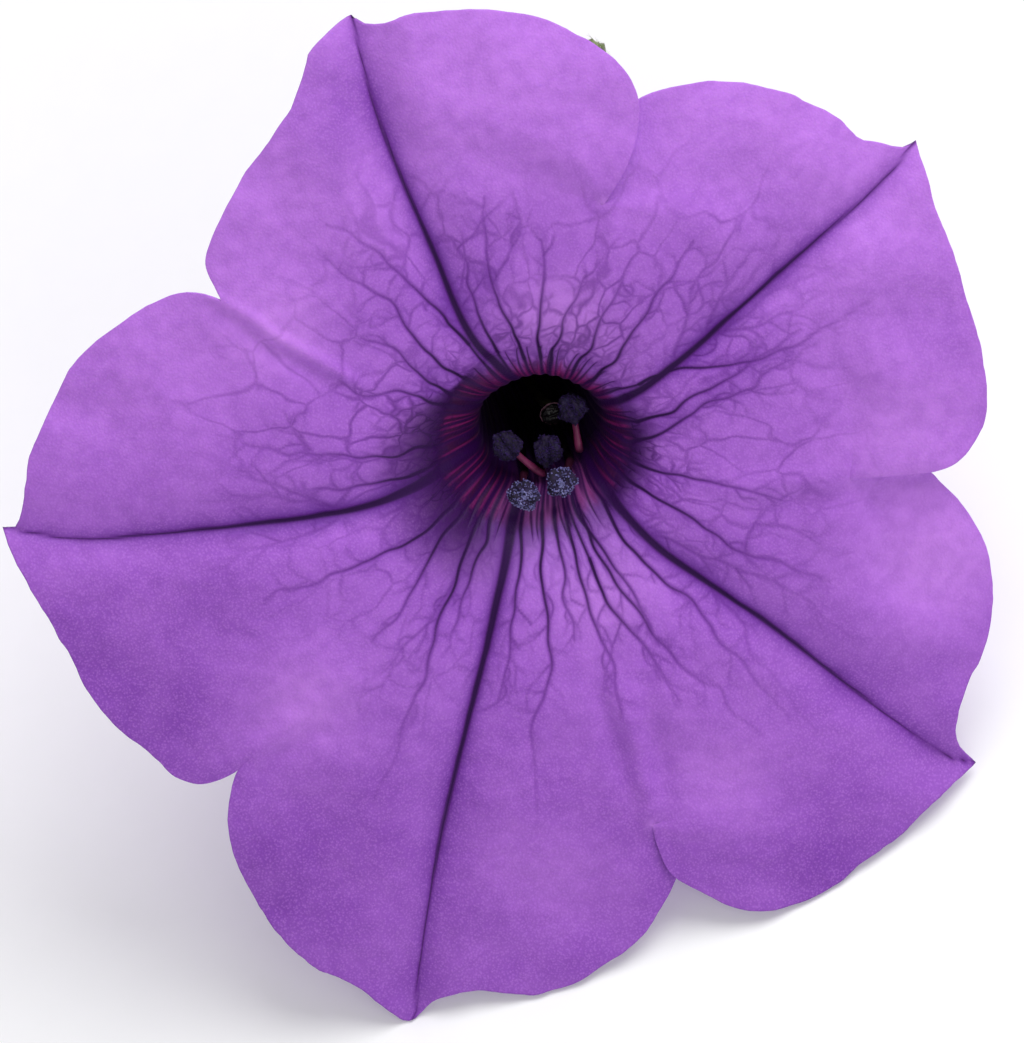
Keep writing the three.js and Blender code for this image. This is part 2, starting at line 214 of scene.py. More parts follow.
# Each lobe in the picture's pixels: its margin up to the tip, the tip, its margin after it and its
# midrib from the throat. "lift" is how far its two sides rise over the next lobes, or tuck under
# them where it is below 0, in millimetres.
lobes = {
    "top": {
        "before": [
            (207, 265), (216, 232), (240, 186), (256, 162), (290, 113), (306, 71), (312, 52), (340, 25),
        ],
        "tip": (352, 17),
        "after": [
            (363, 25), (386, 26), (406, 18), (422, 15), (462, 12), (505, 14), (545, 22),
            (588, 43), (618, 66), (634, 90), (639, 116), (634, 146), (622, 176),
        ],
        "midrib": [(505, 375), (477, 345), (457, 310), (433, 250), (396, 165), (371, 95)],
        "lift": (0, 0.7),
    },
    "upperRight": {
        "before": [
            (609, 184), (615, 160), (620, 130), (630, 106), (655, 93), (688, 85), (726, 83),
            (767, 89), (802, 101), (837, 119), (860, 140), (879, 144), (903, 148),
        ],
        "tip": (915, 141),
        "after": [
            (920, 159), (936, 210), (955, 261), (971, 315), (982, 353), (987, 395), (982, 430),
            (959, 459), (936, 471), (915, 474), (885, 477),
        ],
        "midrib": [(620, 403), (655, 381), (690, 353), (735, 311), (790, 263), (840, 219), (880, 184)],
        "lift": (-0.7, 0.6),
    },
    "lowerRight": {
        "before": [
            (868, 470), (895, 463), (922, 466), (943, 484), (962, 503), (972, 518), (988, 549),
            (994, 587), (991, 630), (982, 659), (969, 687), (960, 715), (958, 734), (963, 749),
        ],
        "tip": (979, 764),
        "after": [
            (966, 776), (929, 809), (904, 835), (866, 862), (841, 884), (816, 899), (785, 909),
            (760, 912), (735, 909), (704, 895), (673, 877), (659, 850),
        ],
        "midrib": [
            (605, 490), (625, 514), (660, 550), (700, 577), (760, 617), (810, 655), (860, 694), (940, 752),
        ],
        "lift": (-0.7, 0.3),
    },
    "bottom": {
        "before": [
            (662, 842), (675, 858), (678, 878), (662, 909), (646, 933), (627, 951), (601, 968),
            (569, 987), (534, 997), (505, 995), (473, 993), (437, 1001), (421, 1016),
        ],
        "tip": (414, 1029),
        "after": [
            (399, 1021), (373, 1002), (348, 984), (312, 967), (280, 938), (261, 912), (242, 877),
            (230, 845), (227, 813), (235, 776),
        ],
        "midrib": [(511, 530), (506, 560), (493, 620), (473, 700), (451, 790), (434, 870), (420, 960)],
        "lift": (-0.3, 0),
    },
    "left": {
        "before": [
            (233, 774), (203, 784), (176, 777), (149, 753), (118, 728), (91, 696), (68, 652),
            (44, 611), (20, 569), (9, 545),
        ],
        "tip": (3, 527),
        "after": [
            (16, 527), (21, 516), (27, 486), (30, 459), (44, 425), (61, 388), (78, 360),
            (112, 331), (152, 305), (183, 294), (208, 295),
        ],
        "midrib": [(430, 478), (380, 503), (320, 515), (240, 525), (160, 533), (80, 539)],
        "lift": (0, 0),
    },
}


def limbRise(angle, radius):
    flare = corolla["flareRise"] * (1 - np.exp(-(radius - corolla["throatRadius"]) / corolla["flareRun"]))
    turned = corolla["marginDroop"] * (0.55 + 0.45 * np.sin(angle - corolla["flatLobe"] - math.pi / 2))
    return flare - turned * (np.maximum(0, radius - corolla["droopStart"]) / corolla["droopRun"]) ** 2


def onLimb(spots, depth=None):
    # places in the picture, put on the limb or at a depth below the throat
    spots = np.atleast_2d(np.asarray(spots, float))
    across = (spots[:, 0] - picture["throat"][0]) / picture["pixelsPerMm"]
    above = (picture["throat"][1] - spots[:, 1]) / picture["pixelsPerMm"]
    roll, tilt = picture["roll"], picture["tilt"]
    x = across * math.cos(roll) + above * math.sin(roll)
    rise = above * math.cos(roll) - across * math.sin(roll)
    y = rise.copy()
    for _ in range(12):
        radius = np.maximum(corolla["throatRadius"], np.hypot(x, y))
        w = limbRise(np.arctan2(y, x), radius) if depth is None else depth
        y = (rise + w * math.sin(tilt)) / math.cos(tilt)
    return np.stack([x, y], axis=1)


def inFlower(right, up):
    # a direction in the picture, in the plane of the limb
    c, s = math.cos(picture["roll"]), math.sin(picture["roll"])
    return np.array([right * c + up * s, up * c - right * s])


def nearTurn(angle, near):
    return angle + 2 * math.pi * np.round((near - angle) / (2 * math.pi))


def lobePlans():
    corners = onLimb(notches)
    plans = []
    for i, lobe in enumerate(lobes.values()):
        start, end = corners[i], corners[(i + 1) % len(corners)]
        tip = onLimb(lobe["tip"])[0]
        tipAngle = math.atan2(tip[1], tip[0])
        ribs = onLimb([*lobe["midrib"], lobe["tip"]])
        plans.append({
            "start": start, "end": end, "lift": lobe["lift"],
            "before": np.vstack([start, onLimb(lobe["before"]), tip]),
            "after": np.vstack([tip, onLimb(lobe["after"]), end]),
            "ribRadius": np.hypot(*ribs.T),
            "ribAngle": nearTurn(np.arctan2(ribs[:, 1], ribs[:, 0]), tipAngle),
            "startAngle": nearTurn(math.atan2(start[1], start[0]), tipAngle),
            "endAngle": nearTurn(math.atan2(end[1], end[0]), tipAngle),
            "ring": (np.hypot(*start) + np.hypot(*end)) / 2,
        })
    return plans


plans = lobePlans()


def columnAngle(plan, u, radius):
    rib = np.interp(radius, plan["ribRadius"], plan["ribAngle"])
    first = plan["startAngle"] + (rib - plan["startAngle"]) * 2 * u
    second = rib + (plan["endAngle"] - rib) * (2 * u - 1)
    return np.where(u < 0.5, first, second)


def ringRadius(plan, u):
    side = np.where(u < 0.5, np.hypot(*plan["start"]), np.hypot(*plan["end"]))
    return side + (plan["ring"] - side) * ease(1 - np.abs(2 * u - 1))


def tubeCentre(depth):
    # a bow in the tube's upper half and a bend in its lower one
    depth = np.asarray(depth, float)
    bend = (np.maximum(0, depth - 4) / corolla["tubeLength"]) ** 2
    bow = ease(depth / 4) * (1 - ease((depth - 10) / 18))
    return np.stack([
        along * bend + aside * bow for along, aside in zip(corolla["tubeBend"], corolla["tubeBow"])
    ], axis=-1)


# The veins are drawn into a map of the flattened limb. Sizes are in millimetres.
veins = {
    "pitch": 0.06,  # of the map's cells
    "reach": 45,
    "step": 0.07,
    "fadeFrom": 12,
    "fadeTo": 30,
    "seed": 11,
    "midribWidth": (0.48, 0.15),
    "sideWidth": 0.12,
    "sideWander": 0.12,
    "throatStart": 9.5,  # a side vein that starts nearer than this runs on into the throat
    "throatLines": 52,
    "throatLineReach": (0.1, 2.2),
    "branchEvery": (0.7, 1.4),
    "branchAngle": (0.5, 0.95),
    "branchLength": (1.2, 4.2),
    "branchStep": 0.1,
    "branchLevels": 2,
    "thinnest": 0.125,
}
# Side veins as seen in the picture, from the throat outwards.
sideVeins = [
    [(465, 381), (435, 358), (415, 338), (402, 318), (389, 302), (362, 285), (339, 272), (326, 255)],
    [(470, 345), (439, 312), (409, 285), (389, 265), (349, 232), (329, 225)],
    [(452, 410), (429, 403), (406, 391), (366, 395), (339, 378)],
    [(525, 358), (513, 332), (505, 312), (493, 285), (488, 255), (483, 225), (482, 199)],
    [(493, 285), (508, 259), (518, 232), (517, 199)],
    [(550, 362), (555, 352), (565, 318), (586, 275)],
    [(590, 385), (601, 376), (624, 347), (646, 312), (678, 264), (694, 242)],
    [(672, 367), (678, 347), (688, 315), (691, 286), (713, 258)],
    [(706, 338), (709, 322), (719, 296), (739, 264), (754, 242)],
    [(640, 383), (672, 372), (719, 366), (783, 350), (831, 325), (869, 299)],
    [(620, 440), (633, 443), (665, 431), (688, 414), (713, 401), (751, 388), (764, 374), (793, 357)],
    [(719, 333), (758, 325), (790, 312), (818, 296)],
    [(618, 470), (638, 487), (679, 509), (707, 531), (744, 552), (772, 560), (804, 571), (829, 582)],
    [(744, 551), (748, 534), (763, 524), (797, 531), (829, 537)],
    [(618, 460), (650, 470), (700, 478), (740, 486), (780, 500)],
    [
        (572, 505), (585, 524), (594, 549), (613, 577), (635, 609), (654, 634), (669, 656),
        (685, 668), (704, 684), (722, 690), (732, 709), (751, 727), (763, 735),
    ],
    [(702, 579), (735, 615), (747, 643), (766, 671), (791, 699), (826, 743)],
    [
        (478, 520), (470, 540), (457, 575), (441, 614), (428, 652), (425, 678), (412, 700), (402, 732),
        (392, 761), (373, 800),
    ],
    [
        (542, 518), (542, 540), (543, 582), (548, 623), (550, 668), (543, 697), (532, 720), (532, 752),
        (537, 813),
    ],
    [(566, 520), (574, 555), (585, 591), (598, 636), (614, 668), (623, 716)],
    [(580, 512), (595, 540), (627, 585), (662, 646)],
    [(440, 447), (419, 446), (395, 456), (355, 456), (314, 453), (291, 456)],
    [(311, 449), (294, 429), (281, 409)],
    [(291, 456), (257, 446), (216, 436)],
    [(338, 512), (320, 501), (294, 493), (250, 476), (210, 454)],
    [(455, 503), (440, 517), (412, 540), (372, 557), (338, 571), (318, 583), (287, 588), (264, 598)],
    [(462, 512), (440, 540), (420, 575), (400, 610), (372, 640)],
    [(492, 520), (478, 560), (462, 600), (452, 640)],
    [(523, 520), (520, 560), (513, 600), (512, 650), (500, 700)],
    [(556, 518), (560, 560), (566, 600), (575, 640)],
    [(425, 470), (395, 480), (350, 486), (310, 490)],
    [(500, 352), (480, 320), (470, 280), (455, 240)],
    [(540, 355), (538, 320), (545, 280), (540, 240)],
    [(575, 372), (590, 345), (605, 310), (620, 280)],
    [(450, 395), (420, 375), (395, 350), (360, 335)],
    [(697, 347), (740, 320), (760, 300), (800, 280), (850, 260)],
    [(640, 420), (690, 400), (740, 370), (800, 330)],
    [(640, 530), (680, 545), (720, 560), (790, 590), (850, 640)],
    [(600, 500), (640, 560), (690, 600), (730, 650), (790, 720)],
    [(455, 575), (430, 620), (400, 650), (380, 690)],
    [(590, 560), (610, 610), (640, 640), (680, 700)],
    [(360, 505), (320, 530), (270, 545), (220, 560)],
    [(352, 508), (300, 500), (260, 495), (200, 500)],
]


mapSize = int(2 * veins["reach"] / veins["pitch"])
veinMap = np.zeros((mapSize, mapSize), np.float32)
crossed = np.zeros((mapSize // 2, mapSize // 2), bool)  # where a vein runs, so that a branch ends on it


def mapCell(spot, coarse=1):
    # the map's cell under a place, kept off the map's border
    i, j = (int((p + veins["reach"]) / veins["pitch"] / coarse) for p in spot)
    first, last = 12, mapSize // coarse - 13
    return min(max(i, first), last), min(max(j, first), last)


def stampVein(line, widths, strengths):
    # soft spots close together make one vein
    for spot, width, strength in zip(line, widths, strengths):
        n = max(2, int(2.2 * width / veins["pitch"]) + 1)
        i, j = mapCell(spot)
        offX = (np.arange(i - n, i + n + 1) + 0.5) * veins["pitch"] - veins["reach"] - spot[0]
        offY = (np.arange(j - n, j + n + 1) + 0.5) * veins["pitch"] - veins["reach"] - spot[1]
        away = offX[:, None] ** 2 + offY[None, :] ** 2
        mark = strength * np.exp(-((away / width**2) ** 1.3))
        area = veinMap[i - n : i + n + 1, j - n : j + n + 1]
        np.maximum(area, mark, out=area)
        crossed[mapCell(spot, 2)] = True


def evenly(points):
    length = np.linalg.norm(np.diff(points, axis=0), axis=1).sum()
    return lineThrough(points, max(4, int(length / veins["step"])))


def veinFade(spots):
    away = np.hypot(*np.asarray(spots).T)
    return 1 - ease((away - veins["fadeFrom"]) / (veins["fadeTo"] - veins["fadeFrom"]))


def drawMidribs(drawn):
    # what is drawn is kept as its line, width, strength and level, so that it can branch
    wide, thin = veins["midribWidth"]
    for lobe in lobes.values():
        line = evenly(onLimb([*lobe["midrib"], lobe["tip"]]))
        line = np.vstack([np.linspace(line[0] * 0.3, line[0], 80, endpoint=False), line])
        share = np.linspace(0, 1, len(line))
        stampVein(line, wide * (1 - share) ** 1.2 + thin, 1 - 0.2 * share**1.5)
        drawn.append((line, 0.2, 1.0, 1))


def drawSideVeins(drawn):
    for spots in sideVeins:
        line = evenly(onLimb(spots))
        wander = np.stack([waves(line, 3.1, len(drawn)), waves(line, 2.7, 90 + len(drawn))], axis=1)
        line = line + veins["sideWander"] * wander
        share = np.linspace(0, 1, len(line))
        fromThroat = np.hypot(*line[0]) < veins["throatStart"]
        full = 1.0 if fromThroat else 0.55
        if fromThroat:
            inner = np.linspace(line[0] * 0.35, line[0], 70, endpoint=False)
            stampVein(inner, np.full(70, 0.2), np.full(70, 0.9))
        widths = veins["sideWidth"] * full * (1 - share) + veins["thinnest"]
        stampVein(line, widths, full * (0.35 + 0.65 * veinFade(line)) * (1 - 0.5 * share))
        drawn.append((line, 0.17, 0.85, 1))


def drawThroatLines(rng):
    count = veins["throatLines"]
    for turn in np.arange(count) + rng.uniform(-0.3, 0.3, count):
        angle = 2 * math.pi * turn / count
        reach = 7.3 + rng.uniform(*veins["throatLineReach"]) * (0.65 - 0.35 * math.sin(angle))
        run = np.linspace(2.2, reach, 110)
        bend = angle + 0.02 * np.sin(run * rng.uniform(0.8, 1.6) + turn)
        widths = np.interp(run, [2, 7, reach], [0.1, 0.13, 0.08])
        stampVein(run[:, None] * around(bend), widths, 0.85 * (1 - ease((run - 6.8) / (reach - 6.8))))


def branchPath(start, way, longest, rng):
    # a wandering line that turns outwards and stops where it meets another vein
    path = [start]
    drift = rng.normal(0, 0.05)
    while len(path) * veins["branchStep"] < longest:
        outward = path[-1] / (np.hypot(*path[-1]) + 1e-9)
        drift = 0.9 * drift + rng.normal(0, 0.035)
        way = way + 0.035 * outward + drift * np.array([-way[1], way[0]])
        way /= np.linalg.norm(way)
        path.append(path[-1] + way * veins["branchStep"])
        if len(path) > 5 and crossed[mapCell(path[-1], 2)]:
            return np.array(path), True
    return np.array(path), False


def growBranches(drawn, rng):
    count = 0
    while drawn:
        line, width, strength, level = drawn.pop(0)
        if level > veins["branchLevels"]:
            continue
        run = runAlong(line)
        side = rng.choice([-1, 1])
        at = rng.uniform(0.3, 1.0)
        while at < run[-1] - 0.2:
            k = min(int(np.searchsorted(run, at)), len(line) - 2)
            at += rng.uniform(*veins["branchEvery"]) * (0.8 + 0.25 * level)
            side = -side if rng.random() < 0.75 else side
            start = line[k]
            if veinFade(start) < 0.05:
                continue
            way = line[k + 1] - line[k]
            turn = side * rng.uniform(*veins["branchAngle"])
            c, s = math.cos(turn), math.sin(turn)
            way = np.array([c * way[0] - s * way[1], s * way[0] + c * way[1]])
            way /= np.linalg.norm(way) + 1e-9
            outer = 0.45 + 0.55 * min(1, np.hypot(*start) / 16)
            path, joins = branchPath(start, way, rng.uniform(*veins["branchLength"]) * outer / level, rng)
            if len(path) < 5:
                continue
            share = np.linspace(0, 1, len(path))
            thin = max(veins["thinnest"], width * rng.uniform(0.6, 0.8))
            dark = strength * rng.uniform(0.55, 0.85)
            taper = 1 - (0.25 if joins else 0.9) * share
            stampVein(path, np.full(len(path), thin), dark * veinFade(path) * taper)
            drawn.append((path, thin, dark, level + 1))
            count += 1
    return count


def drawVeins():
    rng = np.random.default_rng(veins["seed"])
    drawn = []
    drawMidribs(drawn)
    drawSideVeins(drawn)
    drawThroatLines(rng)
    print("veins drawn:", growBranches(drawn, rng), "small branches")


def blurred(field, cells):
    # a soft blur by three running means
    for axis in (0, 1):
        for _ in range(3):
            total = np.cumsum(field, axis=axis, dtype=np.float64)
            ahead, behind = np.roll(total, -cells, axis), np.roll(total, cells + 1, axis)
            field = ((ahead - behind) / (2 * cells + 1)).astype(np.float32)
    return field


def readMap(field, x, y):
    i = np.clip((x + veins["reach"]) / veins["pitch"] - 0.5, 0, field.shape[0] - 2)
    j = np.clip((y + veins["reach"]) / veins["pitch"] - 0.5, 0, field.shape[1] - 2)
    a, b = i.astype(int), j.astype(int)
    s, t = i - a, j - b
    near = field[a, b] * (1 - t) + field[a, b + 1] * t
    far = field[a + 1, b] * (1 - t) + field[a + 1, b + 1] * t
    return near * (1 - s) + far * s


drawVeins()
haloMap = blurred(veinMap, 9)


def newObject(name, points, faces, materials, smooth=True):
    mesh = bpy.data.meshes.new(name)
    mesh.from_pydata(np.asarray(points).tolist(), [], faces)
    mesh.update()
    if smooth:
        mesh.polygons.foreach_set("use_smooth", [True] * len(mesh.polygons))
    for material in materials:
        mesh.materials.append(material)
    thing = bpy.data.objects.new(name, mesh)
    scene.collection.objects.link(thing)
    return thing


def addNumbers(thing, name, values):
    kind = "FLOAT" if np.ndim(values) == 1 else "FLOAT_VECTOR"
    field = "value" if kind == "FLOAT" else "vector"
    layer = thing.data.attributes.new(name, kind, "POINT")
    layer.data.foreach_set(field, np.asarray(values, np.float32).ravel())


def normalsOf(points, triangles):
    a, b, c = (points[triangles[:, k]] for k in range(3))
    flat = np.cross(b - a, c - a)
    total = np.zeros_like(points)
    for k in range(3):
        for axis in range(3):
            total[:, axis] += np.bincount(triangles[:, k], flat[:, axis], len(points))
    return total / (np.linalg.norm(total, axis=1, keepdims=True) + 1e-12)


def squares(grid):
    # the four-sided faces of a numbering grid
    corners = [grid[:-1, :-1], grid[:-1, 1:], grid[1:, 1:], grid[1:, :-1]]
    return np.stack(corners, axis=-1).reshape(-1, 4)


def gridFaces(grids):
    # four- and three-sided faces, where a grid may run to a point at its sides
    quads = np.vstack([squares(grid) for grid in grids])
    left = quads[:, 0] == quads[:, 3]
    right = quads[:, 1] == quads[:, 2]
    return quads[~left & ~right], np.vstack([quads[left][:, :3], quads[right][:, [0, 1, 3]]])


def factsOf(angle, radius, u, free):
    # what the small heights and the materials need at each point
    return np.column_stack(np.broadcast_arrays(angle, radius, u, free))


def limbSurface():
    # the corolla's middle surface: its points, their facts, and the numbering grids
    n, throat = corolla["columns"], corolla["throatRadius"]
    total = n * len(plans)
    u = (np.arange(total) % n) / n
    lobeOf = np.arange(total) // n
    rows, facts = [], []
    angles = np.concatenate([columnAngle(plan, u[lobeOf == i], throat) for i, plan in enumerate(plans)])
    depths = (1 - np.linspace(0, 1, corolla["tubeRows"])) ** 1.7
    for depth in (corolla["tubeLength"] + corolla["tubeSunk"]) * depths:
        radius = softTable(corolla["tube"], depth)
        rows.append(np.column_stack([radius * around(angles) + tubeCentre(depth), np.full(total, -depth)]))
        facts.append(factsOf(angles, radius, u, 0.0))
    for t in (np.arange(1, corolla["fusedRows"] + 1) / corolla["fusedRows"]) ** 1.15:
        flat, angles, height = np.zeros((total, 2)), np.zeros(total), np.zeros(total)
        for i, plan in enumerate(plans):
            mine = lobeOf == i
            radius = throat + (ringRadius(plan, u[mine]) - throat) * t
            angles[mine] = columnAngle(plan, u[mine], radius)
            flat[mine] = radius[:, None] * around(angles[mine])
            height[mine] = limbHeight(plan, flat[mine], u[mine], 0)
        rows.append(np.column_stack([inView(flat, angles, height), height]))
        facts.append(factsOf(angles, np.hypot(*flat.T), u, 0.0))
    common = np.arange(len(rows) * total).reshape(len(rows), total)
    common = np.column_stack([common, common[:, :1]])
    used = len(rows) * total
    grids = []
    u = np.arange(1, n) / n
    half = u < 0.5
    for i, plan in enumerate(plans):
        radius = ringRadius(plan, u)
        ring = radius[:, None] * around(columnAngle(plan, u, radius))
        edge = np.vstack([
            lineThrough(plan["before"], 0, 2 * u[half]), lineThrough(plan["after"], 0, 2 * u[~half] - 1),
        ])
        crimp = corolla["crimp"] * (waves(edge, 2.6, 30 + i) + 0.5 * waves(edge, 1.1, 35 + i))
        crimp = crimp * ease(10 * np.minimum(u, 1 - u))
        edge = edge + edge / np.linalg.norm(edge, axis=1, keepdims=True) * crimp[:, None]
        grid = np.zeros((corolla["freeRows"] + 1, n + 1), int)
        grid[0] = common[-1, i * n : i * n + n + 1]
        grid[:, 0], grid[:, n] = grid[0, 0], grid[0, n]
        for row in range(1, corolla["freeRows"] + 1):
            share = row / corolla["freeRows"]
            flat = ring + (edge - ring) * share
            angle = np.arctan2(flat[:, 1], flat[:, 0])
            height = limbHeight(plan, flat, u, ease(share * 3))
            rows.append(np.column_stack([inView(flat, angle, height), height]))
            facts.append(factsOf(angle, np.hypot(*flat.T), u, share))
            grid[row, 1:n] = used + np.arange(n - 1)
            used += n - 1
        grids.append(grid)
    return np.vstack(rows), np.vstack(facts), common, grids


def inView(flat, angle, height):
    # creases and overlaps are shifted a little so that they stay at their place in the picture
    radius = np.hypot(*flat.T)
    extra = (height - limbRise(angle, radius)) * ease((radius - corolla["throatRadius"]) / 8)
    return flat + np.column_stack([np.zeros(len(flat)), extra * math.tan(picture["tilt"])])


def limbHeight(plan, flat, u, free):
    radius = np.hypot(*flat.T)
    angle = np.arctan2(flat[:, 1], flat[:, 0])
    across = radius * np.sin(angle - np.interp(radius, plan["ribRadius"], plan["ribAngle"]))
    along = ease((radius - corolla["throatRadius"]) / 8)
    crease = corolla["creaseDepth"] * along * bell(across, corolla["creaseWidth"])
    crease = crease + corolla["ribDepth"] * along * bell(across, corolla["ribWidth"])
    first = u < 0.5
    corner = np.where(first[:, None], plan["start"], plan["end"])
    lift = np.where(first, plan["lift"][0], plan["lift"][1])
    away = np.linalg.norm(flat - corner, axis=1)
    side = ease(np.abs(2 * u - 1) * 1.6)
    overlap = free * lift * side * (1 - np.exp(-away / corolla["overlapReach"]))
    wave = corolla["marginWave"] * (radius / 32) ** 3 * np.sin(4 * angle + 1.3)
    return limbRise(angle, radius) - crease + overlap + wave


def newMaterial(name):
    material = bpy.data.materials.new(name)
    material.use_nodes = True
    tree = material.node_tree
    shader = tree.nodes["Principled BSDF"]
    return material, tree, shader


def addNode(tree, kind, inputs=None, **settings):
    node = tree.nodes.new(kind)
    for key, value in settings.items():
        setattr(node, key, value)
    for key, value in (inputs or {}).items():
        if isinstance(value, bpy.types.NodeSocket):
            tree.links.new(value, node.inputs[key])
        else:
            node.inputs[key].default_value = value
    return node


def readNumber(tree, name, field="Fac"):
    return addNode(tree, "ShaderNodeAttribute", attribute_name=name).outputs[field]


def maths(tree, operation, a, b, clamp=False):
    return addNode(tree, "ShaderNodeMath", {0: a, 1: b}, operation=operation, use_clamp=clamp).outputs[0]


def times(tree, a, b, clamp=False):
    return maths(tree, "MULTIPLY", a, b, clamp)


def mixed(tree, share, a, b):
    return addNode(tree, "ShaderNodeMix", {0: share, 6: a, 7: b}, data_type="RGBA").outputs[2]


def layered(tree, base, layers):
    # colours laid over one another, each as far as its share says
    for share, colour in layers:
        base = mixed(tree, share, base, colour)
    return base


def spanned(tree, value, low, high, to=(0, 1)):
    node = addNode(tree, "ShaderNodeMapRange", {
        "Value": value, "From Min": low, "From Max": high, "To Min": to[0], "To Max": to[1],
    }, interpolation_type="SMOOTHSTEP")
    return node.outputs[0]


def noise(tree, place, scale, detail=2.0, roughness=0.5):
    return addNode(tree, "ShaderNodeTexNoise", {
        "Vector": place, "Scale": scale, "Detail": detail, "Roughness": roughness,
    }).outputs[0]


def here(tree):
    return addNode(tree, "ShaderNodeTexCoord").outputs["Object"]


def tint(*levels):
    # a colour as it reads on a screen, from 0 to 255
    return (*(((c / 255 + 0.055) / 1.055) ** 2.4 if c > 10 else c / 255 / 12.92 for c in levels), 1.0)


def newGroup(name, inputs, outputs):
    group = bpy.data.node_groups.new(name, "ShaderNodeTree")
    for key, (kind, value) in inputs.items():
        socket = group.interface.new_socket(key, in_out="INPUT", socket_type=kind)
        if value is not None:
            socket.default_value = value
    for key, kind in outputs.items():
        group.interface.new_socket(key, in_out="OUTPUT", socket_type=kind)
    return group, group.nodes.new("NodeGroupInput").outputs, group.nodes.new("NodeGroupOutput").inputs


def veinNetGroup():
    # the fine net of veins round the throat, as a mask from a place in the net and its strength
    group, given, result = newGroup("veinNet", {
        "Place": ("NodeSocketVector", None),
        "Strength": ("NodeSocketFloat", 1.0),
        "Fine": ("NodeSocketFloat", 1.0),
        "Line": ("NodeSocketFloat", 0.1),
    }, {"Mask": "NodeSocketFloat"})
    bent = given["Place"]
    for scale, reach in ((0.8, 0.9), (2.6, 0.16)):
        drift = addNode(group, "ShaderNodeTexNoise", {"Vector": bent, "Scale": scale, "Detail": 1.0})
        shift = addNode(group, "ShaderNodeVectorMath", {0: drift.outputs[1], "Scale": reach},
                        operation="SCALE")
        bent = addNode(group, "ShaderNodeVectorMath", {0: bent, 1: shift.outputs[0]}, operation="ADD")
        bent = bent.outputs[0]
    meshes = []
    for scale, strength, width in ((0.62, given["Strength"], 1.0), (1.35, given["Fine"], 0.8)):
        cells = addNode(group, "ShaderNodeTexVoronoi", {"Vector": bent, "Scale": scale, "Randomness": 0.7},
                        feature="DISTANCE_TO_EDGE")
        thick = times(group, given["Line"], scale * width)
        edge = spanned(group, maths(group, "DIVIDE", cells.outputs["Distance"], thick), 0.0, 1.8, (1, 0))
        keep = spanned(group, noise(group, bent, scale * 0.5, 1.0), 0.3, 0.6, (0.35, 1))
        meshes.append(times(group, times(group, edge, keep), strength))
    group.links.new(maths(group, "MAXIMUM", *meshes), result["Mask"])
    return group


def grainGroup():
    # the fine sparkle of a petal's or leaf's skin cells, as height, and a slower mottle of its colour
    group, given, result = newGroup("skinGrain", {
        "Place": ("NodeSocketVector", None),
        "Cell Size": ("NodeSocketFloat", 0.00012),
    }, {"Height": "NodeSocketFloat", "Mottle": "NodeSocketFloat"})
    scale = maths(group, "DIVIDE", 1.0, given["Cell Size"])
    cells = addNode(group, "ShaderNodeTexVoronoi", {"Vector": given["Place"], "Scale": scale})
    fine = noise(group, given["Place"], 5200, 2.0)
    height = maths(group, "ADD", times(group, cells.outputs["Distance"], -0.9), fine)
    group.links.new(height, result["Height"])
    group.links.new(noise(group, given["Place"], 900, 4.0, 0.6), result["Mottle"])
    return group


veinNet = veinNetGroup()
skinGrain = grainGroup()


def useGroup(tree, group, inputs):
    return addNode(tree, "ShaderNodeGroup", inputs, node_tree=group).outputs


def finishSkin(tree, shader, base, height, bump, values):
    # the colour, the fine relief with its strength and distance, and the surface values
    tree.links.new(base, shader.inputs["Base Color"])
    grain = addNode(tree, "ShaderNodeBump", {"Height": height, "Strength": bump[0], "Distance": bump[1]})
    tree.links.new(grain.outputs[0], shader.inputs["Normal"])
    for key, value in values.items():
        shader.inputs[key].default_value = value


# The petals' colours, and how strongly their marks show.
petalLook = {
    "violet": tint(164, 97, 206),
    "rose": tint(202, 134, 236),
    "deep": tint(128, 66, 172),
    "halo": tint(96, 38, 150),
    "vein": tint(92, 26, 132),
    "ink": tint(42, 2, 66),
    "gloom": tint(46, 7, 66),
    "wall": tint(70, 9, 60),
    "rib": tint(128, 24, 100),
    # painted light: the throat's top and lower walls, and the floor below the throat, lighter where light
    # falls or comes through the thin petals
    "litTopWall": tint(150, 30, 116),
    "litLowWall": tint(150, 74, 150),
    "pale": tint(176, 118, 212),
    # the tube's deep colour, which also stands for painted shade
    "dark": tint(26, 5, 24),
    "veinStrength": 1.1,
    "haloStrength": 0.95,
    "netStrength": 0.75,
    "roughness": 0.5,
    "grain": 0.35,
    "back": tint(168, 120, 205),
    "backVein": tint(112, 60, 150),
    "tubeOutside": tint(120, 82, 140),
}


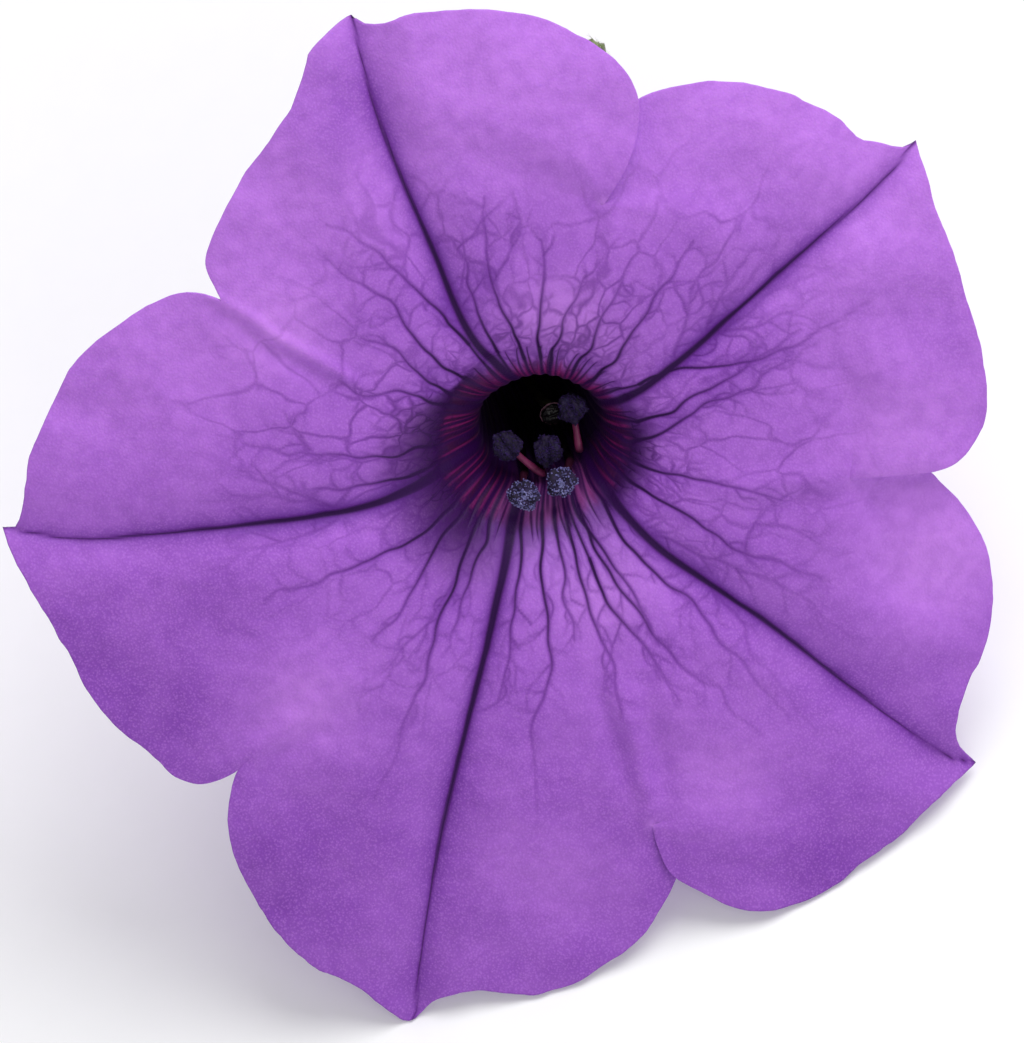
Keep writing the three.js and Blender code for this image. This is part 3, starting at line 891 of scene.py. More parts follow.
def petalFaceMaterial():
    look = petalLook
    material, tree, shader = newMaterial("petalFace")
    place = here(tree)
    grain = useGroup(tree, skinGrain, {"Place": place, "Cell Size": 0.00018})
    depth, gloom, below = (readNumber(tree, name) for name in ("depth", "gloom", "litBelow"))
    nearThroat = spanned(tree, readNumber(tree, "radius"), 7.0, 12.5, (0.6, 0))
    # the wall's own colour, with painted light on its lower and top sides
    wall = layered(tree, look["wall"], [
        (below, look["litLowWall"]),
        (readNumber(tree, "brow"), look["litTopWall"]),
    ])
    net = useGroup(tree, veinNet, {
        "Place": readNumber(tree, "netPlace", "Vector"), "Strength": readNumber(tree, "netFade"),
        "Fine": readNumber(tree, "fineNet"), "Line": readNumber(tree, "netLine"),
    })["Mask"]
    lines = maths(tree, "MAXIMUM", readNumber(tree, "vein"), times(tree, net, look["netStrength"]))
    inThroat = maths(tree, "ADD", spanned(tree, depth, 0.0, 0.8), times(tree, gloom, 0.8))
    inkShare = maths(tree, "ADD", spanned(tree, lines, 0.45, 0.95), inThroat, True)
    ink = mixed(tree, inkShare, look["vein"], look["ink"])
    base = layered(tree, look["violet"], [
        # painted light on the petals towards the top of the picture
        (readNumber(tree, "blushAndPaintedLight"), look["rose"]),
        # painted shade on the petals: their lower sides, the creases beside the midribs and the deep patches
        (readNumber(tree, "paintedShade"), look["deep"]),
        (spanned(tree, noise(tree, place, 260, 3.0), 0.3, 0.7, (0, 0.16)), look["rose"]),
        (spanned(tree, grain["Mottle"], 0.3, 0.7, (0, 0.25)), look["deep"]),
        # painted sparkle: the tops of the skin cells lighter, as the light catches them
        (spanned(tree, grain["Height"], -0.1, 0.5, (0, 0.27)), look["rose"]),
        # painted light below the throat
        (times(tree, nearThroat, below), look["pale"]),
        (times(tree, readNumber(tree, "halo"), look["haloStrength"], True), look["halo"]),
        # darker round the throat's mouth: its own dark colour with painted shade
        (gloom, look["gloom"]),
        (spanned(tree, depth, 0.0, 1.2), wall),
        # darker down the tube: its own dark colour with painted shade
        (readNumber(tree, "darkness"), look["dark"]),
        (readNumber(tree, "ribs"), look["rib"]),
        (times(tree, lines, look["veinStrength"], True), ink),
    ])
    height = maths(tree, "SUBTRACT", grain["Height"], times(tree, lines, 0.6))
    finishSkin(tree, shader, base, height, (look["grain"], 0.00006), {
        "Roughness": look["roughness"],
        "Subsurface Weight": 0.12,
        "Subsurface Radius": (0.6, 0.25, 0.9),
        "Subsurface Scale": 0.00012,
        "Sheen Weight": 0.03,
        "Sheen Roughness": 0.45,
        "Sheen Tint": tint(226, 190, 255),
        "Specular IOR Level": 0.14,
    })
    return material


def petalBackMaterial():
    look = petalLook
    material, tree, shader = newMaterial("petalBack")
    place = here(tree)
    grain = useGroup(tree, skinGrain, {"Place": place})
    tubeShare = spanned(tree, noise(tree, place, 420, 4.0), 0.25, 0.8)
    outside = mixed(tree, tubeShare, look["tubeOutside"], look["back"])
    streaks = noise(tree, readNumber(tree, "streakPlace", "Vector"), 2.6, 3.0)
    streak = times(tree, spanned(tree, streaks, 0.52, 0.66), readNumber(tree, "netFade"))
    lines = maths(tree, "MAXIMUM", readNumber(tree, "vein"), times(tree, streak, 0.7))
    base = layered(tree, look["back"], [
        (spanned(tree, noise(tree, place, 240, 4.0), 0.3, 0.7, (0, 0.5)), look["violet"]),
        (spanned(tree, readNumber(tree, "depth"), 0.0, 5.0), outside),
        (times(tree, lines, 0.75), look["backVein"]),
    ])
    height = maths(tree, "ADD", grain["Height"], times(tree, lines, 1.2))
    finishSkin(tree, shader, base, height, (0.5, 0.00008), {
        "Roughness": 0.55,
        "Subsurface Weight": 0.12,
        "Subsurface Radius": (0.6, 0.25, 0.9),
        "Subsurface Scale": 0.0004,
        "Sheen Weight": 0.3,
        "Specular IOR Level": 0.35,
    })
    return material


# Folds and puckers on the face: a line in the picture, its width and its height in millimetres.
folds = [
    ([(214, 296), (250, 318), (290, 346), (340, 372), (372, 392)], 0.5, 0.4),
    ([(222, 312), (262, 342), (302, 366), (340, 392)], 0.8, -0.45),
    ([(610, 205), (612, 235), (606, 265), (598, 300)], 0.7, 0.22),
    ([(596, 207), (594, 240), (590, 270)], 0.9, -0.22),
    ([(850, 474), (800, 480), (750, 488), (700, 488)], 1.1, 0.3),
    ([(846, 492), (796, 500), (746, 508)], 1.0, -0.25),
    ([(652, 815), (640, 770), (628, 720), (612, 680)], 0.8, 0.35),
    ([(634, 800), (618, 750), (602, 700), (590, 660)], 0.9, -0.38),
    ([(668, 806), (662, 760), (650, 710), (640, 670)], 0.9, -0.3),
    ([(255, 750), (285, 728), (320, 700), (356, 668)], 0.7, 0.26),
    ([(262, 770), (296, 746), (330, 722)], 0.8, -0.26),
    ([(240, 742), (262, 716), (300, 690)], 0.8, -0.2),
]


def lineDistance(flat, line):
    # distance to a line, and how far along it as a share
    best = np.full(len(flat), 1e9)
    share = np.zeros(len(flat))
    for k, (a, b) in enumerate(zip(line, line[1:])):
        t = np.clip((flat - a) @ (b - a) / ((b - a) @ (b - a)), 0, 1)
        away = np.linalg.norm(flat - a - t[:, None] * (b - a), axis=1)
        nearer = away < best
        best[nearer] = away[nearer]
        share[nearer] = (k + t[nearer]) / (len(line) - 1)
    return best, share


# Small heights on the petals, in millimetres. Ripples are given as height, length and seed.
relief = {
    "veinSink": 0.075,
    "cellPuff": 0.05,
    "ripples": [(0.014, 1.3, 3), (0.03, 3.2, 4)],
    "outerRipples": [(0.13, 7.5, 5), (0.02, 2.2, 6)],
    "ruffle": 0.10,
    "tubeRidge": 0.05,
    "tubeRidges": 30,
    "browBulge": 0.75,
}


def rippled(flat, ripples):
    return sum(tall * waves(flat, length, seed) for tall, length, seed in ripples)


def surfaceDetail(points, facts):
    # small heights over the smooth surface: sunk veins, puffed cells, folds and a ruffled edge
    angle, radius, _, free = facts.T
    throat, level = corolla["throatRadius"], points[:, 2]
    away = around(angle)
    flat = away * radius[:, None]
    onFace = np.where(radius > throat, 1, ease(level + 1))
    inTube = (radius < throat + 0.01) & (level < 0)
    inner = throat * np.exp(np.minimum(level, 0) / throat)
    mapped = np.where(inTube[:, None], flat / np.maximum(radius, 1)[:, None] * inner[:, None], flat)
    vein, halo = readMap(veinMap, *mapped.T), readMap(haloMap, *mapped.T)
    outer = ease((radius - 12) / 12)
    puff = relief["cellPuff"] * np.clip(1 - 2.5 * halo, -1, 1)
    height = -relief["veinSink"] * vein * onFace + puff * (1 - outer) * onFace
    height += onFace * rippled(flat, relief["ripples"])
    height += onFace * outer * rippled(flat, relief["outerRipples"])
    height += relief["ruffle"] * free**2 * waves(away * 20, 3.0, 7)
    for spots, width, tall in folds:
        gap, share = lineDistance(flat, onLimb(spots))
        ends = np.sin(math.pi * np.clip(0.12 + 0.88 * share, 0, 1)) ** 0.6
        height += onFace * tall * bell(gap, width) * ends
    height += (1 - onFace) * relief["tubeRidge"] * np.cos(relief["tubeRidges"] * angle)
    # the top of the throat bulges into the mouth
    depth = np.where(inTube, -level, 0)
    top = ease((flat @ inFlower(0, 1) / np.maximum(radius, 1) - 0.2) / 0.8)
    height += relief["browBulge"] * top * ease(depth / 2.2) * (1 - ease((depth - 2.6) / 4))
    return height, vein, halo


# Broad patches of painted light (above 0) and painted shade, two small pale notch marks: place in the
# picture, reach, strength.
tones = [
    ((940, 560), 5.0, 0.9),
    ((730, 770), 5.0, 0.6),
    ((540, 870), 5.0, 0.5),
    ((300, 710), 4.5, 0.8),
    ((600, 590), 3.0, 0.9),
    ((280, 330), 3.0, 0.7),
    ((560, 320), 3.5, 0.9),
    ((900, 430), 4.5, 0.5),
    ((930, 310), 5.0, -0.4),
    ((760, 230), 5.0, -0.3),
    ((340, 110), 4.0, -0.7),
    ((420, 520), 3.0, -1.0),
    ((200, 570), 6.0, -0.3),
    ((60, 640), 4.5, -0.6),
    ((150, 720), 5.0, -0.5),
    ((270, 890), 4.5, -0.5),
    ((840, 870), 4.5, -0.5),
    ((603, 202), 0.4, 0.9),
    ((651, 822), 0.4, 0.7),
]


# Where the face's shades lie. Directions are right and up in the picture, reaches in millimetres.
shading = {
    "brow": (0.3, 0.95),
    "below": (0.2, -0.98),
    "leftward": (-0.87, -0.5),
    "rightward": (0.9, -0.42),
    "stripes": 60,  # dark lines down the throat
    "gloomReach": 0.7,
    "gloomLeft": 5.6,
    "gloomRight": 1.5,
    "darkDepth": 2.6,
    "darkDepthBelow": 4.1,
    # painted shade beside each midrib, where the petal creases
    "midribShade": 0.7,  # how much darker the petal is beside its midrib
    "midribWidth": 0.9,
}


def paintCorolla(thing, points, facts, vein, halo, kept):
    # numbers on the skin's points that the petal materials read
    angle, radius = facts[:, 0], facts[:, 1]
    throat = corolla["throatRadius"]
    away = around(angle)
    flat = away * radius[:, None]
    toward = {name: away @ inFlower(*shading[name]) for name in ("brow", "below", "leftward", "rightward")}
    # the petal's colour runs a little way into the top of the throat
    brow = ease((toward["brow"] - 0.3) / 0.5)
    # painted light: the floor of the throat and the wall under it paler, as they face the lamp, with fewer
    # dark marks there
    below = ease((toward["below"] - 0.62) / 0.35)
    leftward = ease((toward["leftward"] - 0.3) / 0.6)
    rightward = ease((toward["rightward"] - 0.45) / 0.5)
    depth = np.where(radius < throat + 0.01, np.maximum(0, -points[:, 2] - 0.5 * brow), 0)
    far = np.log(np.maximum(radius, 2))
    uneven = 0.25 * waves(away * 3, 2.2, 8)
    fade = 0.85 - 0.3 * ease((radius - 8) / 6 - uneven) - 0.55 * ease((radius - 13) / 13 - uneven)
    fineFade = 0.9 * (1 - ease((radius - 7.6) / 4.4 - uneven))
    outside = 1 - ease((depth - 0.4) / 1.6)
    stripes = 0.5 + 0.5 * np.sin(shading["stripes"] * angle + 2.2 * waves(away * 6, 2.6, 9) + 0.4 * depth)
    ribs = 0.7 * ease((0.5 - stripes) / 0.4) * ease(depth / 0.7) * (1 - ease((depth - 2) / 3.5))
    stripes = 0.75 * ease((stripes - 0.3) / 0.6) * ease((depth - 0.2) / 1.8)
    above = brow * (1 - ease((radius - 9) / 5))
    # darker round the throat's mouth, furthest to the left: the throat's own dark colour with painted shade
    reach = shading["gloomReach"] + shading["gloomLeft"] * leftward + shading["gloomRight"] * rightward
    gloom = 1 - ease((radius - 6.8) / (reach + 0.3 * waves(away * 5, 3.0, 12)))
    # darker down the tube, and deeper below the throat: the tube's own dark colour with painted shade
    darkRun = shading["darkDepth"] + shading["darkDepthBelow"] * below
    tone = np.zeros(len(points))
    for spot, wide, amount in tones:
        tone += amount * np.exp(-(((points[:, :2] - onLimb([spot])) ** 2).sum(axis=1)) / wide**2)
    facing = away @ inFlower(0, 1)
    # painted light: the petals lighter towards the top of the picture, where the lamp falls, and in the pale
    # patches of tones
    blushAndPaintedLight = 0.6 * ease((radius - 13) / 16) * ease((facing + 0.35) / 0.9) + np.maximum(tone, 0)
    # painted shade: the petals darker towards the bottom of the picture, away from the lamp, and in the deep
    # patches of tones
    paintedShade = 0.6 * ease((radius - 13) / 15) * ease((-facing - 0.05) / 0.8) - 0.5 * np.maximum(tone, 0)
    paintedShade = np.maximum(paintedShade, 0) + np.maximum(-tone, 0)
    # painted shade in the crease beside each midrib
    for lobe in lobes.values():
        gap, share = lineDistance(flat, onLimb([*lobe["midrib"], lobe["tip"]]))
        shade = shading["midribShade"] * bell(gap, shading["midribWidth"]) * ease((radius - throat) / 5)
        paintedShade = paintedShade + shade * (1 - 0.7 * ease((share - 0.7) / 0.3))
    marks = {
        "vein": np.maximum(vein, stripes),
        "halo": ease(halo * 1.3) * (1 - 0.6 * below) * (1 - 0.65 * above),
        "gloom": gloom * (1 - 0.6 * below) * (1 - 0.9 * brow),
        "netFade": fade * outside * (1 - 0.6 * below),
        "fineNet": fineFade * outside * (1 - 0.8 * below) * (1 - 0.35 * brow),
        "netPlace": np.column_stack([9 * away, 6 * far - 0.22 * depth]),
        "netLine": 0.95 / np.maximum(radius, throat),
        "streakPlace": np.column_stack([14 * away, 0.6 * far + 0.03 * depth]),
        "radius": radius,
        "depth": depth,
        "litBelow": below,
        "brow": brow,
        "darkness": np.clip((depth - 0.2 - 1.6 * below) / darkRun, 0, 1),
        "ribs": ribs * (1 - 0.8 * below),
        "blushAndPaintedLight": np.clip(blushAndPaintedLight, 0, 1),
        "paintedShade": np.clip(paintedShade, 0, 1),
    }
    for name, values in marks.items():
        addNumbers(thing, name, np.concatenate([values, values[kept]]))


def mapForBaking(thing, common, grids, kept, count):
    # an even map for baking: the front below, the back above
    row, column = np.zeros(count), np.zeros(count)
    row[common[:, :-1]] = np.arange(len(common))[:, None]
    column[common[:, :-1]] = np.arange(common.shape[1] - 1)
    for i, grid in enumerate(grids):
        inner = grid[1:, 1:-1]
        row[inner] = len(common) + np.arange(len(grid) - 1)[:, None]
        column[inner] = i * corolla["columns"] + 1 + np.arange(inner.shape[1])
    across, up = column / (common.shape[1] - 1), row / (len(common) + len(grids[0]))
    mesh = thing.data
    corner = np.empty(len(mesh.loops), np.int64)
    mesh.loops.foreach_get("vertex_index", corner)
    source = np.concatenate([np.arange(count), kept])[corner]
    spots = np.stack([
        across[source], np.where(corner >= count, 0.75 + 0.24 * up[source], 0.73 * up[source]),
    ], axis=1)
    starts, counts = np.empty(len(mesh.polygons), np.int64), np.empty(len(mesh.polygons), np.int64)
    mesh.polygons.foreach_get("loop_start", starts)
    mesh.polygons.foreach_get("loop_total", counts)
    widest = np.maximum.reduceat(spots[:, 0], starts)[np.repeat(np.arange(len(starts)), counts)]
    spots[(widest > 0.8) & (spots[:, 0] < 0.2), 0] += 1
    spots[:, 0] *= 0.99
    layer = mesh.uv_layers.new(name="OFBake")
    layer.data.foreach_set("uv", spots.astype(np.float32).ravel())


def rimFaces(line, backNumber, outer):
    # faces from an edge of the front to every second point of the back
    faces = []
    for k in range(0, len(line) - 1, 2):
        f0, f1, f2 = line[k : k + 3]
        b0, b2 = backNumber[f0], backNumber[f2]
        if outer:
            faces += [(f0, f1, b0), (f1, f2, b0), (f2, b2, b0)]
        else:
            faces += [(f1, f0, b0), (f2, f1, b0), (f2, b0, b2)]
    return faces


def buildCorolla():
    points, facts, common, grids = limbSurface()
    quads, cuts = gridFaces([common, *grids])
    split = np.vstack([quads[:, [0, 1, 2]], quads[:, [0, 2, 3]], cuts])
    height, vein, halo = surfaceDetail(points, facts)
    points = onFloor(points + normalsOf(points, split) * height[:, None], 0.15, 0.15)
    thick = corolla["thickness"] * (1 - corolla["edgeThinning"] * facts[:, 3] ** 6)
    push = normalsOf(points, split) * (thick / 2)[:, None]

    # the back keeps every second row and column
    backGrids = [grid[::2, ::2] for grid in [common, *grids]]
    backQuads, backCuts = gridFaces(backGrids)
    kept = np.unique(np.concatenate([grid.ravel() for grid in backGrids]))
    backNumber = np.zeros(len(points), int)
    backNumber[kept] = len(points) + np.arange(len(kept))
    rims = rimFaces(common[0], backNumber, False)
    for grid in grids:
        rims += rimFaces(grid[-1], backNumber, True)
    frontFaces = quads.tolist() + cuts.tolist()
    backFaces = backNumber[backQuads[:, ::-1]].tolist() + backNumber[backCuts[:, ::-1]].tolist()
    every = np.vstack([points + push, (points - push)[kept]])
    thing = newObject("corolla_skin", laid(every), frontFaces + rims + backFaces,
                      [petalFaceMaterial(), petalBackMaterial()])
    slots = np.zeros(len(thing.data.polygons), np.int32)
    slots[len(frontFaces) + len(rims):] = 1
    thing.data.polygons.foreach_set("material_index", slots)
    paintCorolla(thing, points, facts, vein, halo, kept)
    mapForBaking(thing, common, grids, kept, len(points))
    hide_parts("corolla")
    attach(thing, "root")
    print("corolla built:", len(frontFaces), "faces in front,", len(backFaces), "behind")


buildCorolla()


def framesAlong(line):
    tangent = np.gradient(line, axis=0)
    tangent /= np.linalg.norm(tangent, axis=1, keepdims=True)
    side = np.cross(tangent[0], [0.3, 0.5, 0.81])
    sides = []
    for t in tangent:
        side = side - (side @ t) * t
        side = side / np.linalg.norm(side)
        sides.append(side)
    sides = np.array(sides)
    return tangent, sides, np.cross(tangent, sides)


def roundAlong(points, radii, sides, stations, detail=None):
    # a round solid along a line: points, faces, share along it and angle round it
    run = runAlong(np.asarray(points, float))
    share = np.linspace(0, 1, stations + 1)
    line = lineThrough(points, stations + 1)
    tangent, first, second = framesAlong(line)
    radius = softTable(np.column_stack([run / run[-1], radii]), share)
    # the ends are rounded off by two smaller rings: station, radius, and push along the line
    rings = [
        (0, 0.5 * radius[0], -0.06), (0, 0.88 * radius[0], -0.04),
        *((k, radius[k], 0.0) for k in range(stations + 1)),
        (stations, 0.88 * radius[-1], 0.04), (stations, 0.5 * radius[-1], 0.05),
    ]
    angle = np.arange(sides) * 2 * math.pi / sides
    spots, shares = [], []
    for k, r, push in rings:
        extra = detail(share[k], angle) if detail else 0.0
        reach = (r + extra * r / max(radius[k], 1e-6)) * np.ones(sides)
        ways = np.cos(angle)[:, None] * first[k] + np.sin(angle)[:, None] * second[k]
        spots.append(line[k] + push * tangent[k] + reach[:, None] * ways)
        shares.append(np.full(sides, share[k]))
    spots = np.vstack([*spots, line[0] - 0.06 * tangent[0], line[-1] + 0.05 * tangent[-1]])
    grid = np.arange(len(rings) * sides).reshape(-1, sides)
    grid = np.column_stack([grid, grid[:, :1]])
    faces = squares(grid).tolist()
    faces += [(len(spots) - 2, int(grid[0, k + 1]), int(grid[0, k])) for k in range(sides)]
    faces += [(len(spots) - 1, int(grid[-1, k]), int(grid[-1, k + 1])) for k in range(sides)]
    angles = np.concatenate([np.tile(angle, len(rings)), [0, 0]])
    return spots, faces, np.concatenate([*shares, [0, 1]]), angles


def ballShape(rows, columns):
    # directions over a ball, with the faces between them
    turn = around(np.arange(columns) * 2 * math.pi / columns)
    ways = [
        np.column_stack([math.sin(polar) * turn, np.full(columns, math.cos(polar))])
        for polar in np.linspace(0, math.pi, rows + 1)[1:-1]
    ]
    ways = np.vstack([*ways, [(0, 0, 1)], [(0, 0, -1)]])
    grid = np.arange((rows - 1) * columns).reshape(rows - 1, columns)
    grid = np.column_stack([grid, grid[:, :1]])
    faces = squares(grid)[:, [0, 3, 2, 1]].tolist()
    top, bottom = len(ways) - 2, len(ways) - 1
    faces += [(top, int(grid[0, k]), int(grid[0, k + 1])) for k in range(columns)]
    faces += [(bottom, int(grid[-1, k + 1]), int(grid[-1, k])) for k in range(columns)]
    return ways, faces


def closedSheet(middle, half):
    # a closed skin round a grid of points, its half thickness given at each one
    rows, columns = middle.shape[:2]
    along, across = np.gradient(middle, axis=0), np.gradient(middle, axis=1)
    normal = np.cross(across, along)
    normal /= np.linalg.norm(normal, axis=2, keepdims=True) + 1e-12
    top, bottom = middle + normal * half[..., None], middle - normal * half[..., None]
    a = np.arange(rows * columns).reshape(rows, columns)
    ringA = np.concatenate([a[0, :-1], a[:-1, -1], a[-1, :0:-1], a[:0:-1, 0]])
    ringB = ringA + rows * columns
    faces = squares(a).tolist() + squares(a + rows * columns)[:, ::-1].tolist()
    faces += np.stack([ringA, ringB, np.roll(ringB, -1), np.roll(ringA, -1)], axis=-1).tolist()
    return np.vstack([top.reshape(-1, 3), bottom.reshape(-1, 3)]), faces, normal.reshape(-1, 3)


# A hair's shape: where its rings stand along it, their widths as shares of its own, and its lean.
hairShape = {
    "shares": (-0.15, 0.3, 0.65, 0.9, 0.96, 1.0),
    "widths": (1.0, 0.75, 0.5, 0.4, 0.9, 0.3),
    "lean": 0.25,
}


def strands(bases, ways, lengths, width, seed):
    # fine tapering hairs with three sides and a small round head
    rng = np.random.default_rng(seed)
    count = len(bases)
    lean = rng.normal(size=(count, 3)) * hairShape["lean"]
    side = np.cross(ways, rng.normal(size=(count, 3)))
    side /= np.linalg.norm(side, axis=1, keepdims=True) + 1e-9
    other = np.cross(ways, side)
    rings = []
    for share, wide in zip(hairShape["shares"], hairShape["widths"]):
        centre = bases + (ways * share + lean * max(share, 0) ** 2) * lengths[:, None]
        for turn in (0, 2 * math.pi / 3, 4 * math.pi / 3):
            rings.append(centre + wide * width * (math.cos(turn) * side + math.sin(turn) * other))
    per = len(rings)
    faces = [
        (r + k, r + (k + 1) % 3, r + 3 + (k + 1) % 3, r + 3 + k)
        for r in range(0, per - 3, 3) for k in range(3)
    ]
    first = per * np.arange(count)[:, None, None]
    quads = (np.array(faces) + first).reshape(-1, 4)
    caps = (np.array([(2, 1, 0), (per - 3, per - 2, per - 1)]) + first).reshape(-1, 3)
    return np.stack(rings, axis=1).reshape(-1, 3), quads.tolist() + caps.tolist()


def joined(*shapes):
    # several (points, faces) as one, and which shape each face is from
    points, faces, source = [], [], []
    start = 0
    for k, (spots, sides) in enumerate(shapes):
        points.append(spots)
        faces += [tuple(i + start for i in side) for side in sides]
        source += [k] * len(sides)
        start += len(spots)
    return np.vstack(points), faces, source


def builtPiece(name, shapes, materials, node):
    points, faces, source = joined(*shapes)
    thing = newObject(name, laid(points), faces, materials)
    thing.data.polygons.foreach_set("material_index", np.array(source, np.int32))
    if node:
        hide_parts(node)
    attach(thing, "root")
    return thing


greenLook = {
    "sepal": tint(118, 132, 78),
    "sepalDark": tint(74, 92, 48),
    "sepalPale": tint(158, 166, 120),
    "stalk": tint(128, 150, 84),
    "stalkPale": tint(170, 184, 128),
    "blushAndPaintedLight": tint(120, 84, 96),
    "hair": tint(205, 212, 190),
    "hairPale": tint(236, 238, 226),
    "roughness": 0.55,
}


def leafMaterial(name, main, dark, pale):
    material, tree, shader = newMaterial(name)
    place = here(tree)
    grain = useGroup(tree, skinGrain, {"Place": place, "Cell Size": 0.00016})
    base = layered(tree, main, [
        (spanned(tree, noise(tree, place, 330, 4.0), 0.3, 0.7, (0, 0.8)), dark),
        (readNumber(tree, "vein"), pale),
        (times(tree, readNumber(tree, "edge"), 0.6), greenLook["blushAndPaintedLight"]),
        (spanned(tree, grain["Mottle"], 0.45, 0.7, (0, 0.5)), pale),
    ])
    finishSkin(tree, shader, base, grain["Height"], (0.5, 0.00008), {
        "Roughness": greenLook["roughness"],
        "Subsurface Weight": 0.08,
        "Subsurface Radius": (0.5, 0.8, 0.2),
        "Subsurface Scale": 0.0004,
        "Sheen Weight": 0.2,
    })
    return material


def hairMaterial():
    material, tree, shader = newMaterial("hair")
    tone = spanned(tree, noise(tree, here(tree), 1500, 2.0), 0.35, 0.65)
    tree.links.new(mixed(tree, tone, greenLook["hair"], greenLook["hairPale"]), shader.inputs["Base Color"])
    shader.inputs["Roughness"].default_value = 0.35
    shader.inputs["Transmission Weight"].default_value = 0.25
    return material


hairs = hairMaterial()
sepalGreen = leafMaterial("sepalGreen", greenLook["sepal"], greenLook["sepalDark"], greenLook["sepalPale"])
stalkGreen = leafMaterial("stalkGreen", greenLook["stalk"], greenLook["sepal"], greenLook["stalkPale"])

calyx = {
    "thickness": 0.5,
    "widths": [2.0, 2.2, 2.6, 3.0, 3.3, 3.4, 3.1, 2.4, 1.4],
    "hollow": 0.35,
    "uneven": 0.12,
    "sideRibs": 9,
    "stations": 64,
    "lanes": 18,
    "hairs": 330,
    "hairLength": (0.35, 0.8),
    "hairWidth": 0.022,
}
# Each sepal: its direction round the axis, and its midline as radius and depth.
sepals = [
    (49, [(2.6, -33.7), (3.9, -32.2), (6.2, -30.2), (11, -29.2), (15.5, -29), (19.1, -28.2)]),
    (-20, [(2.6, -33.7), (3.9, -32.2), (6.4, -30.2), (10.5, -29.4), (15, -28.6), (18.6, -29.4)]),
    (-90, [(2.6, -33.7), (3.9, -32.3), (6, -30.7), (9.6, -29.8), (12.8, -27.9), (15.2, -25.4)]),
    (-156, [(2.6, -33.7), (3.9, -32.2), (6, -30.4), (10, -29.6), (14.4, -29.6), (18, -28.4)]),
    (132, [(2.6, -33.7), (3.9, -32.2), (6.3, -30), (9.9, -28.8), (13.5, -28.8), (16.6, -29.8)]),
]
foot = tubeCentre(corolla["tubeLength"])


def buildSepal(number, turn, line):
    out = np.array([*around(math.radians(turn)), 0])
    across = np.array([-out[1], out[0], 0])
    spine = lineThrough([out * r + (foot[0], foot[1], w) for r, w in line], calyx["stations"] + 1)
    share = np.linspace(0, 1, len(spine))
    half = softTable([[i / 8, w / 2] for i, w in enumerate(calyx["widths"])], share)
    half = half * np.sqrt(np.clip((1.015 - share) / 0.05, 0, 1))
    tangent, _, _ = framesAlong(spine)
    up = -np.cross(tangent, across)
    side = np.linspace(-1, 1, calyx["lanes"] + 1)
    flat = np.stack(np.meshgrid(share * 19, side * 1.6, indexing="ij"), axis=-1).reshape(-1, 2)
    uneven = waves(flat, 4.0, 40 + number).reshape(len(share), len(side))
    lift = calyx["hollow"] * side**2 + calyx["uneven"] * uneven * (share[:, None] > 0.15)
    rib = bell(side, 0.13)[None, :] * (1 - 0.6 * share[:, None])
    slant = np.abs(side)[None, :] * 0.9 - calyx["sideRibs"] * share[:, None]
    ribs = np.clip(np.cos(2 * math.pi * slant) * 3 - 2, 0, 1) * (1 - rib)
    ribs = ribs * (0.4 + 0.6 * (1 - np.abs(side))[None, :])
    middle = spine[:, None] + across * (half[:, None] * side)[..., None] + up[:, None] * lift[..., None]
    thick = calyx["thickness"] / 2 * (1 - 0.6 * side**4)[None, :] + 0.10 * rib + 0.03 * ribs
    points, faces, normals = closedSheet(middle, thick * np.ones_like(lift))
    points = onFloor(points, 0.02, 0.05)
    rng = np.random.default_rng(60 + number)
    count = len(normals)
    picks = rng.integers(2 * len(side), count, calyx["hairs"])
    flip = rng.choice([1, -1], calyx["hairs"])[:, None]
    bases = np.where(flip > 0, points[picks], points[picks + count])
    ways = normals[picks] * flip + 0.25 * rng.normal(size=(calyx["hairs"], 3))
    lengths = rng.uniform(*calyx["hairLength"], calyx["hairs"])
    free = clearOfFloor(bases, ways, lengths)
    fringe = strands(bases[free], ways[free], lengths[free], calyx["hairWidth"], 70 + number)
    thing = builtPiece(f"sepal_blade_{number}", [(points, faces), fringe], [sepalGreen, hairs],
                       f"sepal_{number}")
    edge = np.ones_like(share)[:, None] * ease((np.abs(side) - 0.75) / 0.25)[None, :]
    for name, values in (("vein", 0.7 * rib + 0.35 * ribs), ("edge", edge)):
        addNumbers(thing, name, np.concatenate([np.tile(values.ravel(), 2), np.zeros(len(fringe[0]))]))


for number, (turn, line) in enumerate(sepals, 1):
    buildSepal(number, turn, line)
print("calyx built")

# The stalk from its head to the cut end: places on its line with the radius there.
stalk = {
    "line": [
        ((0, 0, -31.3), 2.6), ((0, 0, -31.7), 3.1), ((0, 0, -32.6), 3.2), ((0, 0, -33.7), 2.7),
        ((0, 0, -34.8), 1.8), ((0, 0, -36.2), 1.2), ((0, 0, -39.4), 1.0), ((0, 1.8, -44), 0.95),
        ((0.2, 5.0, -48.6), 0.9), ((0.6, 8.5, -53.03), 0.95),
    ],
    "ridges": 9,
    "crown": 0.12,
    "hairs": 620,
    "hairLength": (0.35, 0.85),
    "hairWidth": 0.022,
}


def footed(x, y, w):
    return np.array([x + foot[0], y + foot[1], w])


